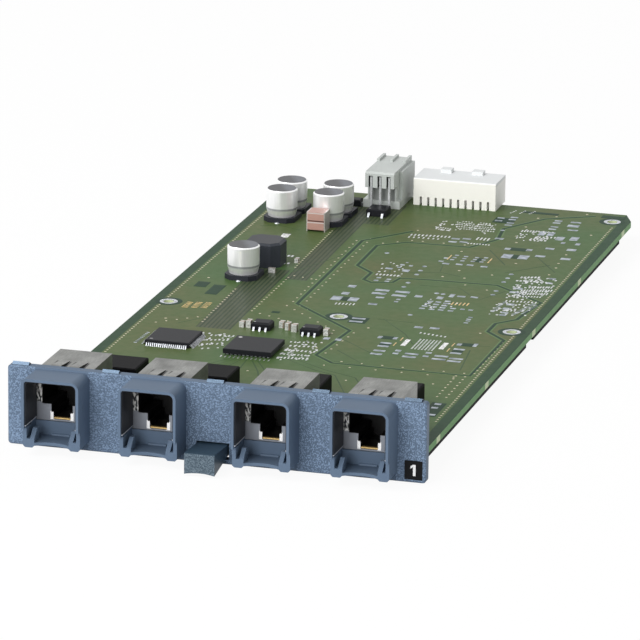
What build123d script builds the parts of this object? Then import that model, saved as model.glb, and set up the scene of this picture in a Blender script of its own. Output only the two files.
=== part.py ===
from build123d import *
import os

os.makedirs("parts", exist_ok=True)

# All sizes are in millimetres. X runs along the front panel, Y from the front to the rear
# and Z up. The origin is under the middle of the whole module, level with the panel's foot.
# A "depth" is a distance behind the panel's face, and a "height" is above the panel's foot.

# Front panel
panel_margin = 8.0
panel_height = 23.8
panel_thickness = 3.0
panel_wall = 1.8
panel_rim = 1.6
panel_edge = 0.5
panel_corner_radius = 1.0
face_gap = 0.05

# Circuit board, a step narrower than the panel on both sides
board_side_step = 1.9
board_front = 3.2
board_rear = 275.3
board_thickness = 2.0
board_height = 8.0
board_corner = 3.2
board_corner_length = 7.7
insulator_thickness = 1.2
insulator_inset = 0.1
board_bottom = board_height - board_thickness

# Ports: two pairs of jacks, each in its own securing collar
collar_width = 17.2
port_pitch = 29.1
pair_pitch = 33.6
port_shift = -0.3
port_xs = (
    port_shift - pair_pitch / 2 - port_pitch,
    port_shift - pair_pitch / 2,
    port_shift + pair_pitch / 2,
    port_shift + pair_pitch / 2 + port_pitch,
)
panel_width = pair_pitch + 2 * port_pitch + collar_width + 2 * panel_margin
board_width = panel_width - 2 * board_side_step

# Securing collars
collar_reach = 10.5
collar_wall = 0.8
collar_top = 23.3
collar_bottom = 3.0
collar_floor = 0.9
collar_small_radius = 1.6
collar_large_radius = 2.4
foot_setback = 1.5
foot_top = 8.3
foot_wall = 1.1
leg_low = 2.4
leg_chamfer = 0.6
post_inner = 5.2
post_width = 1.3
post_reach = 4.4
post_lean = 2.8
post_top = 7.6
post_sill = 5.0
floor_scoop = 1.6
lip_width = 5.4
lip_size = 0.6
lip_sides = 8
liner_thickness = 0.3
liner_low = 8.9
liner_setback = 0.6

# Jacks
jack_width = 15.9
jack_front = 0.7
jack_rear = 23.1
jack_low = board_height
jack_top = 22.8
shield_thickness = 0.25
cavity_width = 11.9
cavity_low = 13.0
cavity_high = 19.9
cavity_depth = 13.5
latch_width = 6.3
latch_low = 10.7
latch_slot_width = 5.0
latch_slot_low = 8.6
contact_count = 8
contact_pitch = 1.02
contact_width = 0.45
contact_thickness = 0.35
contact_drop = 2.2
contact_front = 1.6
contact_bend = 3.0
contact_rear = 9.6
tongue_rear = 8.0
tab_width = 3.0
tab_spread = 5.5
tab_front = 3.2
tab_root = 12.7
tab_rise = 0.9
peg_radius = 1.5
peg_sides = 8
peg_proud = 0.2
peg_depth = 14.0
peg_spread = 11.4
fit_clearance = 0.1

# Release lever behind and through the panel
lever_x = -0.6
lever_width = 9.0
lever_reach = 13.0
lever_high = 6.7
lever_root_high = 5.8
lever_low = 0.4
lever_root_low = 2.6
lever_scoop = 0.5
pivot_depth = 7.0
pivot_height = 3.0
pin_radius = 0.75
pin_clearance = 0.05
hub_radius = 2.15
arm_rear = 15.0
arm_low = 1.3
arm_high = 4.2
nose_low = 0.3
nose_length = 2.4
window_gap = 0.4
window_top = 6.4
window_sill = 1.4
ear_width = 1.5
spring_front = 9.8
spring_bend = 14.4
spring_width = 5.0
spring_thickness = 0.25

# Screws that join the board to the panel
screw_xs = (-32.6, 30.4)
screw_depth = 9.0
screw_radius = 1.2
screw_head_radius = 2.3
screw_head_height = 1.7
screw_length = 6.0
boss_width = 7.0
boss_rear = 13.0
boss_low = 0.8

# Board mounting holes
hole_radius = 1.6
hole_side = 5.8
hole_half_span = board_width / 2 - hole_side
hole_front = 130.3
hole_rear = board_rear - 9.8

# Rear connectors
column_pitch = 2.54
column_count = 11
backplane_x = 1.1
backplane_front = board_rear - 9.0
backplane_rear = board_rear + 4.2
backplane_high = 9.2
backplane_slot = 0.8
backplane_slot_high = 2.9
socket_size = 1.2
power_x = -21.5
power_width = 9.8
power_front = board_rear - 20.3
power_rear = board_rear + 2.2
power_high = 13.0
power_pitch = 3.05

power_pin_width = 0.7
power_pin_inset = 0.8
power_pin_depth = power_front + power_pin_inset + power_pin_width / 2
pin_hole_width = 1.1
socket_rows = 3
socket_low = 2.0
socket_depth = 5.0
blade_width = 0.8
blade_thickness = 0.2

module_rear = backplane_rear
face_y = (lever_reach - module_rear) / 2


def front_plane(depth):
    """Plane that faces forward at a depth: its local axes are X and the height."""
    return Plane.XZ.offset(-(face_y + depth))


def level(height):
    """Horizontal plane at a height."""
    return Plane.XY.offset(height)


def side_plane(x):
    """Plane across the module at x: its local axes are Y and the height."""
    return Plane.YZ.offset(x)


def back(depth):
    """The Y of a point at a depth behind the panel's face."""
    return face_y + depth


def block(x0, x1, depth0, depth1, low, high, mode=Mode.PRIVATE):
    """Rectangular block between two X, two depths and two heights."""
    corner = (x0, back(depth0), low)
    with Locations(corner):
        return Box(
            x1 - x0,
            depth1 - depth0,
            high - low,
            align=(Align.MIN, Align.MIN, Align.MIN),
            mode=mode,
        )


def window_outline(plane, x, low, high, width, small_radius, large_radius):
    """Upright outline, square below, with a small and a large rounded corner above."""
    with BuildSketch(plane) as outline:
        with Locations((x, (low + high) / 2)):
            Rectangle(width, high - low)
        fillet(outline.vertices().group_by(Axis.Y)[-1].sort_by(Axis.X)[0], small_radius)
        fillet(outline.vertices().group_by(Axis.Y)[-1].sort_by(Axis.X)[-1], large_radius)
    return outline.sketch


def plug_outline(plane, x, margin):
    """Stepped outline of a network plug, with its latch below, grown by a margin."""
    with BuildSketch(plane) as outline:
        with Locations((x, (cavity_low + cavity_high) / 2)):
            Rectangle(cavity_width + 2 * margin, cavity_high - cavity_low + 2 * margin)
        with Locations((x, (latch_low + cavity_low) / 2)):
            Rectangle(latch_width + 2 * margin, cavity_low - latch_low + 2 * margin)
        with Locations((x, (latch_slot_low + latch_low) / 2)):
            Rectangle(latch_slot_width + 2 * margin, latch_low - latch_slot_low + 2 * margin)
    return outline.sketch


# Front panel: one moulding
collar_bore = collar_width - 2 * collar_wall
bore_top = collar_top - collar_wall
floor_top = collar_bottom + collar_floor
foot_front = foot_setback - collar_reach
pocket_margin = fit_clearance
with BuildPart() as front_panel:
    with BuildSketch(front_plane(0)):
        with Locations((0, panel_height / 2)):
            Rectangle(panel_width, panel_height)
    extrude(amount=-panel_thickness)
    fillet(front_panel.edges().filter_by(Axis.Y), panel_corner_radius)
    chamfer(front_panel.faces().sort_by(Axis.Y)[0].edges(), panel_edge)
    with BuildSketch(front_plane(panel_thickness)):
        with Locations((0, panel_height / 2)):
            Rectangle(panel_width - 2 * panel_rim, panel_height - 2 * panel_rim)
    extrude(amount=panel_thickness - panel_wall, mode=Mode.SUBTRACT)
    for x in port_xs:
        surround = collar_width + 2 * panel_rim
        block(x - surround / 2, x + surround / 2, panel_wall - 0.5, panel_thickness, 0, panel_height, Mode.ADD)
        extrude(
            window_outline(
                front_plane(0.5), x, collar_bottom, collar_top, collar_width,
                collar_small_radius, collar_large_radius,
            ),
            amount=collar_reach + 0.5,
        )
    for x in port_xs:
        extrude(
            window_outline(
                front_plane(0), x, floor_top, bore_top, collar_bore,
                collar_small_radius - collar_wall, collar_large_radius - collar_wall,
            ),
            amount=collar_reach,
            mode=Mode.SUBTRACT,
        )
        extrude(
            window_outline(
                front_plane(jack_front - 0.3), x, jack_low, bore_top, collar_bore,
                collar_small_radius - collar_wall, collar_large_radius - collar_wall,
            ),
            amount=jack_front,
            mode=Mode.SUBTRACT,
        )
        pocket = jack_width / 2 + pocket_margin
        block(
            x - pocket, x + pocket, jack_front - 0.3, panel_thickness,
            jack_low - pocket_margin, jack_top + pocket_margin, Mode.SUBTRACT,
        )
        # The collar's foot stands a little behind its rim, with a scooped floor between two legs
        block(
            x - collar_width / 2, x + collar_width / 2, -collar_reach, foot_front,
            collar_bottom, foot_top, Mode.SUBTRACT,
        )
        scoop_radius = (post_inner**2 + floor_scoop**2) / (2 * floor_scoop)
        with BuildSketch(level(collar_bottom)):
            with Locations((x, back(foot_front + floor_scoop - scoop_radius))):
                Circle(scoop_radius)
        extrude(amount=collar_floor, mode=Mode.SUBTRACT)
        for side in (-1, 1):
            outer = x + side * collar_width / 2
            wall = outer - side * foot_wall
            inner = x + side * post_inner
            post = inner + side * post_width
            with BuildSketch(front_plane(foot_front)):
                with BuildLine():
                    Polyline(
                        (outer, post_sill),
                        (outer, leg_low + leg_chamfer),
                        (outer - side * leg_chamfer, leg_low),
                        (inner + side * leg_chamfer, leg_low),
                        (inner, leg_low + leg_chamfer),
                        (inner, post_sill),
                        close=True,
                    )
                make_face()
            extrude(amount=-post_reach)
            block(
                min(outer, wall), max(outer, wall), foot_front, foot_front + post_reach,
                post_sill, foot_top, Mode.ADD,
            )
            # Latch post, a rib whose front edge leans back
            with BuildSketch(side_plane(min(inner, post))):
                with BuildLine():
                    Polyline(
                        (back(foot_front), post_sill),
                        (back(foot_front + post_lean), post_top),
                        (back(foot_front + post_reach), post_top),
                        (back(foot_front + post_reach), post_sill),
                        close=True,
                    )
                make_face()
            extrude(amount=post_width)
        with BuildSketch(side_plane(x)):
            with Locations((back(0), floor_top)):
                RegularPolygon(lip_size, lip_sides)
        extrude(amount=lip_width / 2, both=True)
    # Window, ears and pin bore for the release lever
    window_half = lever_width / 2 + window_gap
    block(
        lever_x - window_half, lever_x + window_half, 0, panel_thickness,
        window_sill, window_top, Mode.SUBTRACT,
    )
    for side in (-1, 1):
        inner = lever_x + side * window_half
        outer = inner + side * ear_width
        with BuildSketch(side_plane(min(inner, outer))):
            with BuildLine():
                Polyline(
                    (back(panel_wall), window_sill - 0.6),
                    (back(pivot_depth + hub_radius), window_sill - 0.6),
                    (back(pivot_depth + hub_radius), pivot_height + hub_radius),
                    (back(panel_wall), pivot_height + hub_radius),
                    close=True,
                )
            make_face()
            with Locations((back(pivot_depth), pivot_height)):
                Circle(pin_radius + 0.01, mode=Mode.SUBTRACT)
        extrude(amount=ear_width)
    # Bosses under the board's front edge
    for x in screw_xs:
        block(
            x - boss_width / 2, x + boss_width / 2, panel_wall, boss_rear,
            boss_low, board_bottom, Mode.ADD,
        )
        with Locations((x, back(screw_depth), board_bottom)):
            Hole(screw_radius + 0.05, screw_length)
front_panel.part.label = "front_panel"
export_step(front_panel.part, "parts/front_panel.step")

# Black number label at the panel's lower right corner
label_width = 5.2
label_height = 5.6
label_thickness = 0.2
label_margin = 1.0
label_x = panel_width / 2 - label_margin - label_width / 2
with BuildPart() as number_label:
    with BuildSketch(front_plane(0)):
        with Locations((label_x, label_margin + label_height / 2)):
            Rectangle(label_width, label_height)
    extrude(amount=label_thickness)
number_label.part.label = "number_label"
export_step(number_label.part, "parts/number_label.step")

# Release lever: thumb pad in front, hub on the pin, arm and latch nose behind
with BuildPart() as release_lever:
    with BuildSketch(side_plane(lever_x)):
        with BuildLine():
            Polyline(
                (back(-lever_reach), lever_low),
                (back(-lever_reach), lever_high),
                (back(panel_thickness - 0.6), lever_root_high),
                (back(panel_thickness - 0.6), pivot_height + hub_radius),
                (back(pivot_depth), pivot_height + hub_radius),
                (back(pivot_depth + hub_radius), arm_high),
                (back(arm_rear), arm_high),
                (back(arm_rear), nose_low + 0.6),
                (back(arm_rear - 0.6), nose_low),
                (back(arm_rear - nose_length), arm_low),
                (back(pivot_depth), pivot_height - hub_radius),
                (back(panel_thickness), lever_root_low - 0.2),
                (back(0), lever_root_low),
                close=True,
            )
        make_face()
    extrude(amount=lever_width / 2, both=True)
    front_edges = release_lever.faces().sort_by(Axis.Y)[0].edges()
    fillet(front_edges.sort_by(Axis.Z)[-1], 0.5)
    # Finger scoop under the pad
    scoop = (lever_width**2 / 4 + lever_scoop**2) / (2 * lever_scoop)
    with BuildSketch(front_plane(-lever_reach)):
        with Locations((lever_x, lever_low + lever_scoop - scoop)):
            Circle(scoop)
    extrude(amount=-lever_reach, mode=Mode.SUBTRACT)
    with BuildSketch(side_plane(lever_x)):
        with Locations((back(pivot_depth), pivot_height)):
            Circle(pin_radius + pin_clearance)
    extrude(amount=lever_width, both=True, mode=Mode.SUBTRACT)
release_lever.part.label = "release_lever"
export_step(release_lever.part, "parts/release_lever.step")

with BuildPart() as lever_pivot_pin:
    with BuildSketch(side_plane(lever_x)):
        with Locations((back(pivot_depth), pivot_height)):
            Circle(pin_radius)
    extrude(amount=window_half + ear_width, both=True)
lever_pivot_pin.part.label = "lever_pivot_pin"
export_step(lever_pivot_pin.part, "parts/lever_pivot_pin.step")

# Folded leaf spring between the lever's arm and the board's underside
spring_middle = (arm_high + board_bottom) / 2
with BuildPart() as lever_return_spring:
    with BuildSketch(side_plane(lever_x)):
        with BuildLine():
            Polyline(
                (back(spring_front), arm_high),
                (back(spring_bend - 0.3), arm_high),
                (back(spring_bend), spring_middle - 0.4),
                (back(spring_bend - 0.3), spring_middle),
                (back(spring_front + 1.2), board_bottom),
                (back(spring_front), board_bottom),
                (back(spring_front), board_bottom - spring_thickness),
                (back(spring_front + 1.1), board_bottom - spring_thickness),
                (back(spring_bend - 0.5), spring_middle - spring_thickness),
                (back(spring_bend - 0.3), spring_middle - 0.4),
                (back(spring_bend - 0.4), arm_high + spring_thickness),
                (back(spring_front), arm_high + spring_thickness),
                close=True,
            )
        make_face()
    extrude(amount=spring_width / 2, both=True)
lever_return_spring.part.label = "lever_return_spring"
export_step(lever_return_spring.part, "parts/lever_return_spring.step")

# Main board
board_mounts = (
    (-hole_half_span, hole_front),
    (0, hole_front),
    (hole_half_span, hole_front),
    (-hole_half_span, hole_rear),
    (hole_half_span, hole_rear),
)


def board_outline(plane, inset):
    """Board outline with cut rear corners, drawn in by an inset along both sides."""
    half = board_width / 2 - inset
    with BuildSketch(plane) as outline:
        with BuildLine():
            Polyline(
                (-half, back(board_front)),
                (half, back(board_front)),
                (half, back(board_rear - board_corner_length)),
                (half - board_corner, back(board_rear)),
                (board_corner - half, back(board_rear)),
                (-half, back(board_rear - board_corner_length)),
                close=True,
            )
        make_face()
    return outline.sketch


with BuildPart() as main_board:
    extrude(board_outline(level(board_bottom), 0), amount=board_thickness)
    for x, depth in board_mounts:
        with Locations((x, back(depth), board_height)):
            Hole(hole_radius, board_thickness)
    for x in screw_xs:
        with Locations((x, back(screw_depth), board_height)):
            Hole(screw_radius + 0.15, board_thickness)
    with BuildSketch(level(board_height)):
        for x in port_xs:
            for side in (-1, 1):
                with Locations((x + side * peg_spread / 2, back(peg_depth))):
                    RegularPolygon(peg_radius + fit_clearance, peg_sides)
        with Locations((power_x, back(power_pin_depth))):
            with GridLocations(power_pitch, power_pitch, 3, 1):
                Rectangle(pin_hole_width, pin_hole_width)
    extrude(amount=-board_thickness, mode=Mode.SUBTRACT)
main_board.part.label = "main_board"
export_step(main_board.part, "parts/main_board.step")

# Insulator under the board, cut away at the front, at the mounts and under the connectors
insulator_window_rear = 24.0
insulator_side = 6.0
insulator_rear = board_rear - 24.0
mount_clearance_x = 5.0
mount_clearance_y = 4.5
with BuildPart() as underside_insulator:
    extrude(board_outline(level(board_bottom - insulator_thickness), insulator_inset), amount=insulator_thickness)
    block(
        insulator_side - board_width / 2, board_width / 2 - insulator_side, board_front,
        insulator_window_rear, board_bottom - insulator_thickness, board_bottom, Mode.SUBTRACT,
    )
    block(
        -board_width / 2, board_width / 2, insulator_rear, board_rear,
        board_bottom - insulator_thickness, board_bottom, Mode.SUBTRACT,
    )
    for x, depth in board_mounts:
        with BuildSketch(level(board_bottom)):
            with Locations((x, back(depth))):
                Rectangle(2 * mount_clearance_x, 2 * mount_clearance_y)
        extrude(amount=-insulator_thickness, mode=Mode.SUBTRACT)
        if abs(x) > hole_half_span / 2:
            reach = x + 2 * mount_clearance_x * x / abs(x)
            block(
                min(x, reach), max(x, reach), depth - mount_clearance_y, depth + mount_clearance_y,
                board_bottom - insulator_thickness, board_bottom, Mode.SUBTRACT,
            )
underside_insulator.part.label = "underside_insulator"
export_step(underside_insulator.part, "parts/underside_insulator.step")

# Panel screws, down through the board into the panel's bosses, each with a slotted head
screw_slot_length = 2.6
screw_slot_width = 0.6
screw_slot_depth = 0.8
with BuildPart() as panel_screws:
    for x in screw_xs:
        with Locations((x, back(screw_depth), board_height)):
            Cylinder(
                screw_head_radius, screw_head_height,
                align=(Align.CENTER, Align.CENTER, Align.MIN),
            )
            Cylinder(
                screw_radius, screw_length,
                align=(Align.CENTER, Align.CENTER, Align.MAX),
            )
        with Locations((x, back(screw_depth), board_height + screw_head_height)):
            Box(screw_slot_length, screw_slot_width, 2 * screw_slot_depth, mode=Mode.SUBTRACT)
panel_screws.part.label = "panel_screws"
export_step(panel_screws.part, "parts/panel_screws.step")

# Spring strip behind the panel's top edge, with five fingers that stand above it
finger_end = 3.95
finger_ends = panel_width / 2 - finger_end
finger_xs = (
    port_shift - finger_ends,
    (port_xs[0] + port_xs[1]) / 2,
    (port_xs[1] + port_xs[2]) / 2,
    (port_xs[2] + port_xs[3]) / 2,
    port_shift + finger_ends,
)
finger_width = 5.0
finger_crest = 1.3
finger_tip = 2.0
strip_end = 1.0
strip_thickness = 0.2
strip_low = jack_top + pocket_margin + 0.1
strip_high = panel_height - 0.1
finger_low = panel_height + 0.05
finger_high = panel_height + 0.8
with BuildPart() as emc_spring_strip:
    block(
        strip_end - panel_width / 2, panel_width / 2 - strip_end, panel_thickness,
        panel_thickness + strip_thickness, strip_low, strip_high, Mode.ADD,
    )
    for x in finger_xs:
        with BuildSketch(side_plane(x)):
            with BuildLine():
                Polyline(
                    (back(panel_thickness), strip_low),
                    (back(panel_thickness), finger_low),
                    (back(panel_thickness - finger_crest), finger_high - strip_thickness),
                    (back(panel_thickness - finger_tip), finger_low),
                    (back(panel_thickness - finger_tip - strip_thickness), finger_low),
                    (back(panel_thickness - finger_crest), finger_high),
                    (back(panel_thickness + strip_thickness), panel_height),
                    (back(panel_thickness + strip_thickness), strip_low),
                    close=True,
                )
            make_face()
        extrude(amount=finger_width / 2, both=True)
emc_spring_strip.part.label = "emc_spring_strip"
export_step(emc_spring_strip.part, "parts/emc_spring_strip.step")

with BuildPart() as contact:
    with BuildSketch(Plane.YZ):
        with BuildLine():
            Polyline(
                (contact_front, cavity_high),
                (contact_bend, cavity_high),
                (contact_rear, cavity_high - contact_drop),
                (contact_rear, cavity_high - contact_drop - contact_thickness),
                (contact_front, cavity_high - contact_thickness),
                close=True,
            )
        make_face()
    extrude(amount=contact_width / 2, both=True)
contact_wire = contact.part

for number, port_x in enumerate(port_xs, start=1):
    left = port_x - jack_width / 2
    right = port_x + jack_width / 2

    # Folded shield, open below, its front flange cut to the plug's outline
    with BuildPart() as jack_shield:
        block(left, right, jack_front, jack_rear, board_height, jack_top, Mode.ADD)
        block(
            left + shield_thickness, right - shield_thickness, jack_front + shield_thickness,
            jack_rear - shield_thickness, board_height, jack_top - shield_thickness, Mode.SUBTRACT,
        )
        extrude(
            plug_outline(front_plane(jack_front + shield_thickness), port_x, 0.1),
            amount=shield_thickness, mode=Mode.SUBTRACT,
        )
        # Two sprung ground tabs on top
        for side in (-1, 1):
            with BuildSketch(side_plane(port_x + side * tab_spread / 2)):
                with BuildLine():
                    Polyline(
                        (back(tab_root), jack_top),
                        (back(tab_front + 1.2), jack_top + tab_rise),
                        (back(tab_front + 0.3), jack_top + tab_rise - 0.1),
                        (back(tab_front), jack_top + tab_rise / 2),
                        (back(tab_front + 0.3), jack_top + tab_rise / 2),
                        (back(tab_front + 0.6), jack_top + tab_rise - 0.35),
                        (back(tab_front + 1.2), jack_top + tab_rise - 0.25),
                        (back(tab_root - 2.6), jack_top),
                        close=True,
                    )
                make_face()
            extrude(amount=tab_width / 2, both=True)
    jack_shield.part.label = f"jack_shield_{number}"
    export_step(jack_shield.part, f"parts/jack_shield_{number}.step")

    # Black insert that fills the shield, with the plug cavity and two board pegs
    insert_left = left + shield_thickness
    insert_right = right - shield_thickness
    with BuildPart() as jack_insert:
        block(
            insert_left, insert_right, jack_front + shield_thickness,
            jack_rear - shield_thickness, jack_low, jack_top - shield_thickness, Mode.ADD,
        )
        extrude(
            plug_outline(front_plane(jack_front + shield_thickness), port_x, 0),
            amount=-cavity_depth, mode=Mode.SUBTRACT,
        )
        for side in (-1, 1):
            with BuildSketch(level(jack_low)):
                with Locations((port_x + side * peg_spread / 2, back(peg_depth))):
                    RegularPolygon(peg_radius, peg_sides)
            extrude(amount=board_bottom - jack_low - peg_proud)
    jack_insert.part.label = f"jack_insert_{number}"
    export_step(jack_insert.part, f"parts/jack_insert_{number}.step")

    # Eight sprung contacts below the cavity's roof, and the ground tongue in the latch slot
    with BuildPart() as jack_contacts:
        with Locations((port_x, back(jack_front), 0)):
            with GridLocations(contact_pitch, 1, contact_count, 1):
                add(contact_wire)
        block(
            port_x - latch_slot_width / 2, port_x + latch_slot_width / 2,
            jack_front + shield_thickness, jack_front + tongue_rear,
            latch_slot_low, latch_slot_low + contact_thickness, Mode.ADD,
        )
    jack_contacts.part.label = f"jack_contacts_{number}"
    export_step(jack_contacts.part, f"parts/jack_contacts_{number}.step")

    # Sheet metal liner inside the collar
    with BuildPart() as collar_liner:
        liner_front = -collar_reach + liner_setback
        liner_length = -face_gap - liner_front
        outside = collar_bore - 2 * face_gap
        extrude(
            window_outline(
                front_plane(liner_front), port_x, liner_low, bore_top - face_gap, outside,
                collar_small_radius - collar_wall, collar_large_radius - collar_wall,
            ),
            amount=-liner_length,
        )
        extrude(
            window_outline(
                front_plane(liner_front), port_x, liner_low, bore_top - face_gap - liner_thickness,
                outside - 2 * liner_thickness,
                collar_small_radius - collar_wall - liner_thickness,
                collar_large_radius - collar_wall - liner_thickness,
            ),
            amount=-liner_length,
            mode=Mode.SUBTRACT,
        )
    collar_liner.part.label = f"collar_liner_{number}"
    export_step(collar_liner.part, f"parts/collar_liner_{number}.step")

# Line transformer modules behind the jacks
transformer_pitch = 28.15
transformer_right = -36.0
transformer_width = 15.0
transformer_front = 38.0
transformer_rear = 50.8
transformer_top = 14.0
transformer_low = 8.5
lead_count = 9
lead_pitch = 1.5
lead_width = 0.6
lead_thickness = 0.25
lead_reach = 1.4
transformer_xs = [transformer_right - transformer_width / 2 + index * transformer_pitch for index in range(4)]


def gull_lead(top, reach, width, thickness):
    """Gull-wing lead that leaves a body at the origin, towards the front, and ends on the board."""
    with BuildPart() as lead:
        with BuildSketch(Plane.YZ):
            with BuildLine():
                Polyline(
                    (0, top),
                    (-reach * 0.45, top),
                    (-reach, board_height),
                    (-reach * 0.6, board_height),
                    (0, top - thickness),
                    close=True,
                )
            make_face()
        extrude(amount=width / 2, both=True)
    return lead.part


def lead_places(x, depth, along, across, count, pitch, turns):
    """Places of lead rows on the sides of a body centred at x and depth."""
    places = []
    for turn in turns:
        reach = along / 2 if turn in (0, 180) else across / 2
        for index in range(count):
            step = (index - (count - 1) / 2) * pitch
            places.append(
                Location((x, back(depth), 0), (0, 0, turn)) * Location((step, -reach, 0))
            )
    return places


for number, x in enumerate(transformer_xs, start=1):
    with BuildPart() as line_transformer:
        block(
            x - transformer_width / 2, x + transformer_width / 2, transformer_front,
            transformer_rear, transformer_low, transformer_top, Mode.ADD,
        )
        chamfer(line_transformer.faces().sort_by(Axis.Z)[-1].edges(), 0.35)
    line_transformer.part.label = f"line_transformer_{number}"
    export_step(line_transformer.part, f"parts/line_transformer_{number}.step")

transformer_lead = gull_lead(transformer_low + 1.4, lead_reach, lead_width, lead_thickness)
transformer_length = transformer_rear - transformer_front
transformer_depth = transformer_front + transformer_length / 2
with BuildPart() as transformer_leads:
    for x in transformer_xs:
        with Locations(lead_places(
            x, transformer_depth, transformer_length, transformer_width, lead_count, lead_pitch, (0, 180),
        )):
            add(transformer_lead)
transformer_leads.part.label = "transformer_leads"
export_step(transformer_leads.part, "parts/transformer_leads.step")

# Controller chip, with leads on four sides
controller_x = -40.4
controller_depth = 89.6
controller_size = 14.0
controller_low = 8.15
controller_top = 9.7
controller_leads_per_side = 20
controller_lead_pitch = 0.65
controller_lead_width = 0.3
controller_lead_reach = 1.3
controller_lead_thickness = 0.15
with BuildPart() as controller_chip:
    half = controller_size / 2
    block(
        controller_x - half, controller_x + half, controller_depth - half, controller_depth + half,
        controller_low, controller_top, Mode.ADD,
    )
    chamfer(controller_chip.faces().sort_by(Axis.Z)[-1].edges(), 0.25)
controller_chip.part.label = "controller_chip"
export_step(controller_chip.part, "parts/controller_chip.step")

controller_lead = gull_lead(
    controller_low + 0.8, controller_lead_reach, controller_lead_width, controller_lead_thickness
)
with BuildPart() as controller_leads:
    with Locations(lead_places(
        controller_x, controller_depth, controller_size, controller_size,
        controller_leads_per_side, controller_lead_pitch, (0, 90, 180, 270),
    )):
        add(controller_lead)
controller_leads.part.label = "controller_leads"
export_step(controller_leads.part, "parts/controller_leads.step")

# Switch chip on solder balls
switch_x = -14.4
switch_depth = 87.2
switch_size = 15.0
switch_low = 8.5
switch_top = 10.0
ball_count = 11
ball_pitch = 1.27
ball_size = 0.65
with BuildPart() as switch_chip:
    half = switch_size / 2
    block(
        switch_x - half, switch_x + half, switch_depth - half, switch_depth + half,
        switch_low, switch_top, Mode.ADD,
    )
    chamfer(switch_chip.faces().sort_by(Axis.Z)[-1].edges(), 0.15)
switch_chip.part.label = "switch_chip"
export_step(switch_chip.part, "parts/switch_chip.step")

ball_span = (ball_count - 1) * ball_pitch
with BuildPart() as switch_chip_balls:
    with BuildSketch(level(board_height)):
        with Locations((switch_x, back(switch_depth))):
            with GridLocations(ball_pitch, ball_pitch, ball_count, ball_count):
                Rectangle(ball_size, ball_size)
            Rectangle(ball_span - ball_pitch, ball_span - ball_pitch, mode=Mode.SUBTRACT)
    extrude(amount=switch_low - board_height)
switch_chip_balls.part.label = "switch_chip_balls"
export_step(switch_chip_balls.part, "parts/switch_chip_balls.step")

# Electrolytic capacitors: a rolled can, narrower at its foot, on a square base with two cut corners
can_radius = 5.1
can_top = 18.7
can_neck = 0.6
can_neck_height = 2.3
can_edge = 0.5
base_size = 10.5
base_thickness = 1.6
base_corner = 2.2
bulk_x = -33.1
bulk_depth = 234.9
bulk_pitch = 11.6
bulk_spread = 15.9
capacitor_places = (
    (-40.9, 164.4),
    (bulk_x - bulk_spread, bulk_depth),
    (bulk_x - bulk_spread, bulk_depth + bulk_pitch),
    (bulk_x, bulk_depth),
    (bulk_x, bulk_depth + bulk_pitch),
)
for number, (x, depth) in enumerate(capacitor_places, start=1):
    can_low = board_height + base_thickness
    with BuildPart() as capacitor_can:
        with BuildSketch(Plane.XZ.offset(-back(depth))):
            with BuildLine():
                Polyline(
                    (x, can_low),
                    (x + can_radius - can_neck, can_low),
                    (x + can_radius, can_low + can_neck_height),
                    (x + can_radius, can_top - can_edge),
                    (x + can_radius - can_edge, can_top),
                    (x, can_top),
                    close=True,
                )
            make_face()
        revolve(axis=Axis((x, back(depth), 0), (0, 0, 1)))
    capacitor_can.part.label = f"capacitor_can_{number}"
    export_step(capacitor_can.part, f"parts/capacitor_can_{number}.step")

    with BuildPart() as capacitor_base:
        with BuildSketch(level(board_height)) as base_outline:
            with Locations((x, back(depth))):
                Rectangle(base_size, base_size)
            chamfer(base_outline.vertices().group_by(Axis.Y)[0], base_corner)
        extrude(amount=base_thickness)
    capacitor_base.part.label = f"capacitor_base_{number}"
    export_step(capacitor_base.part, f"parts/capacitor_base_{number}.step")

# Power inductor: a drum in a square ferrite body with cut corners
inductor_x = -38.9
inductor_depth = 182.0
inductor_size = 12.0
inductor_top = 15.9
inductor_corner = 2.6
inductor_edge = 0.7
with BuildPart() as power_inductor:
    with BuildSketch(level(board_height)) as inductor_outline:
        with Locations((inductor_x, back(inductor_depth))):
            Rectangle(inductor_size, inductor_size)
        chamfer(inductor_outline.vertices(), inductor_corner)
    extrude(amount=inductor_top - board_height)
    chamfer(power_inductor.faces().sort_by(Axis.Z)[-1].edges(), inductor_edge)
power_inductor.part.label = "power_inductor"
export_step(power_inductor.part, "parts/power_inductor.step")

# Stacked ceramic capacitor: two blocks between folded end plates
stack_x = -34.2
stack_width = 5.6
stack_length = 6.2
stack_clearance = 0.25
stack_depth = bulk_depth - base_size / 2 - stack_clearance - stack_length / 2
stack_block = 2.7
stack_gap = 0.4
stack_plate = 0.3
stack_low = 8.6
with BuildPart() as stacked_capacitor:
    for index in range(2):
        low = stack_low + index * (stack_block + stack_gap)
        block(
            stack_x - stack_width / 2, stack_x + stack_width / 2,
            stack_depth - stack_length / 2, stack_depth + stack_length / 2,
            low, low + stack_block, Mode.ADD,
        )
    for side in (-1, 1):
        inner = stack_x + side * stack_width / 2
        outer = inner + side * stack_plate
        block(
            min(inner, outer), max(inner, outer), stack_depth - stack_length / 2 + 0.3,
            stack_depth + stack_length / 2 - 0.3, board_height, stack_low + 2 * stack_block + stack_gap, Mode.ADD,
        )
stacked_capacitor.part.label = "stacked_capacitor"
export_step(stacked_capacitor.part, "parts/stacked_capacitor.step")

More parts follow.
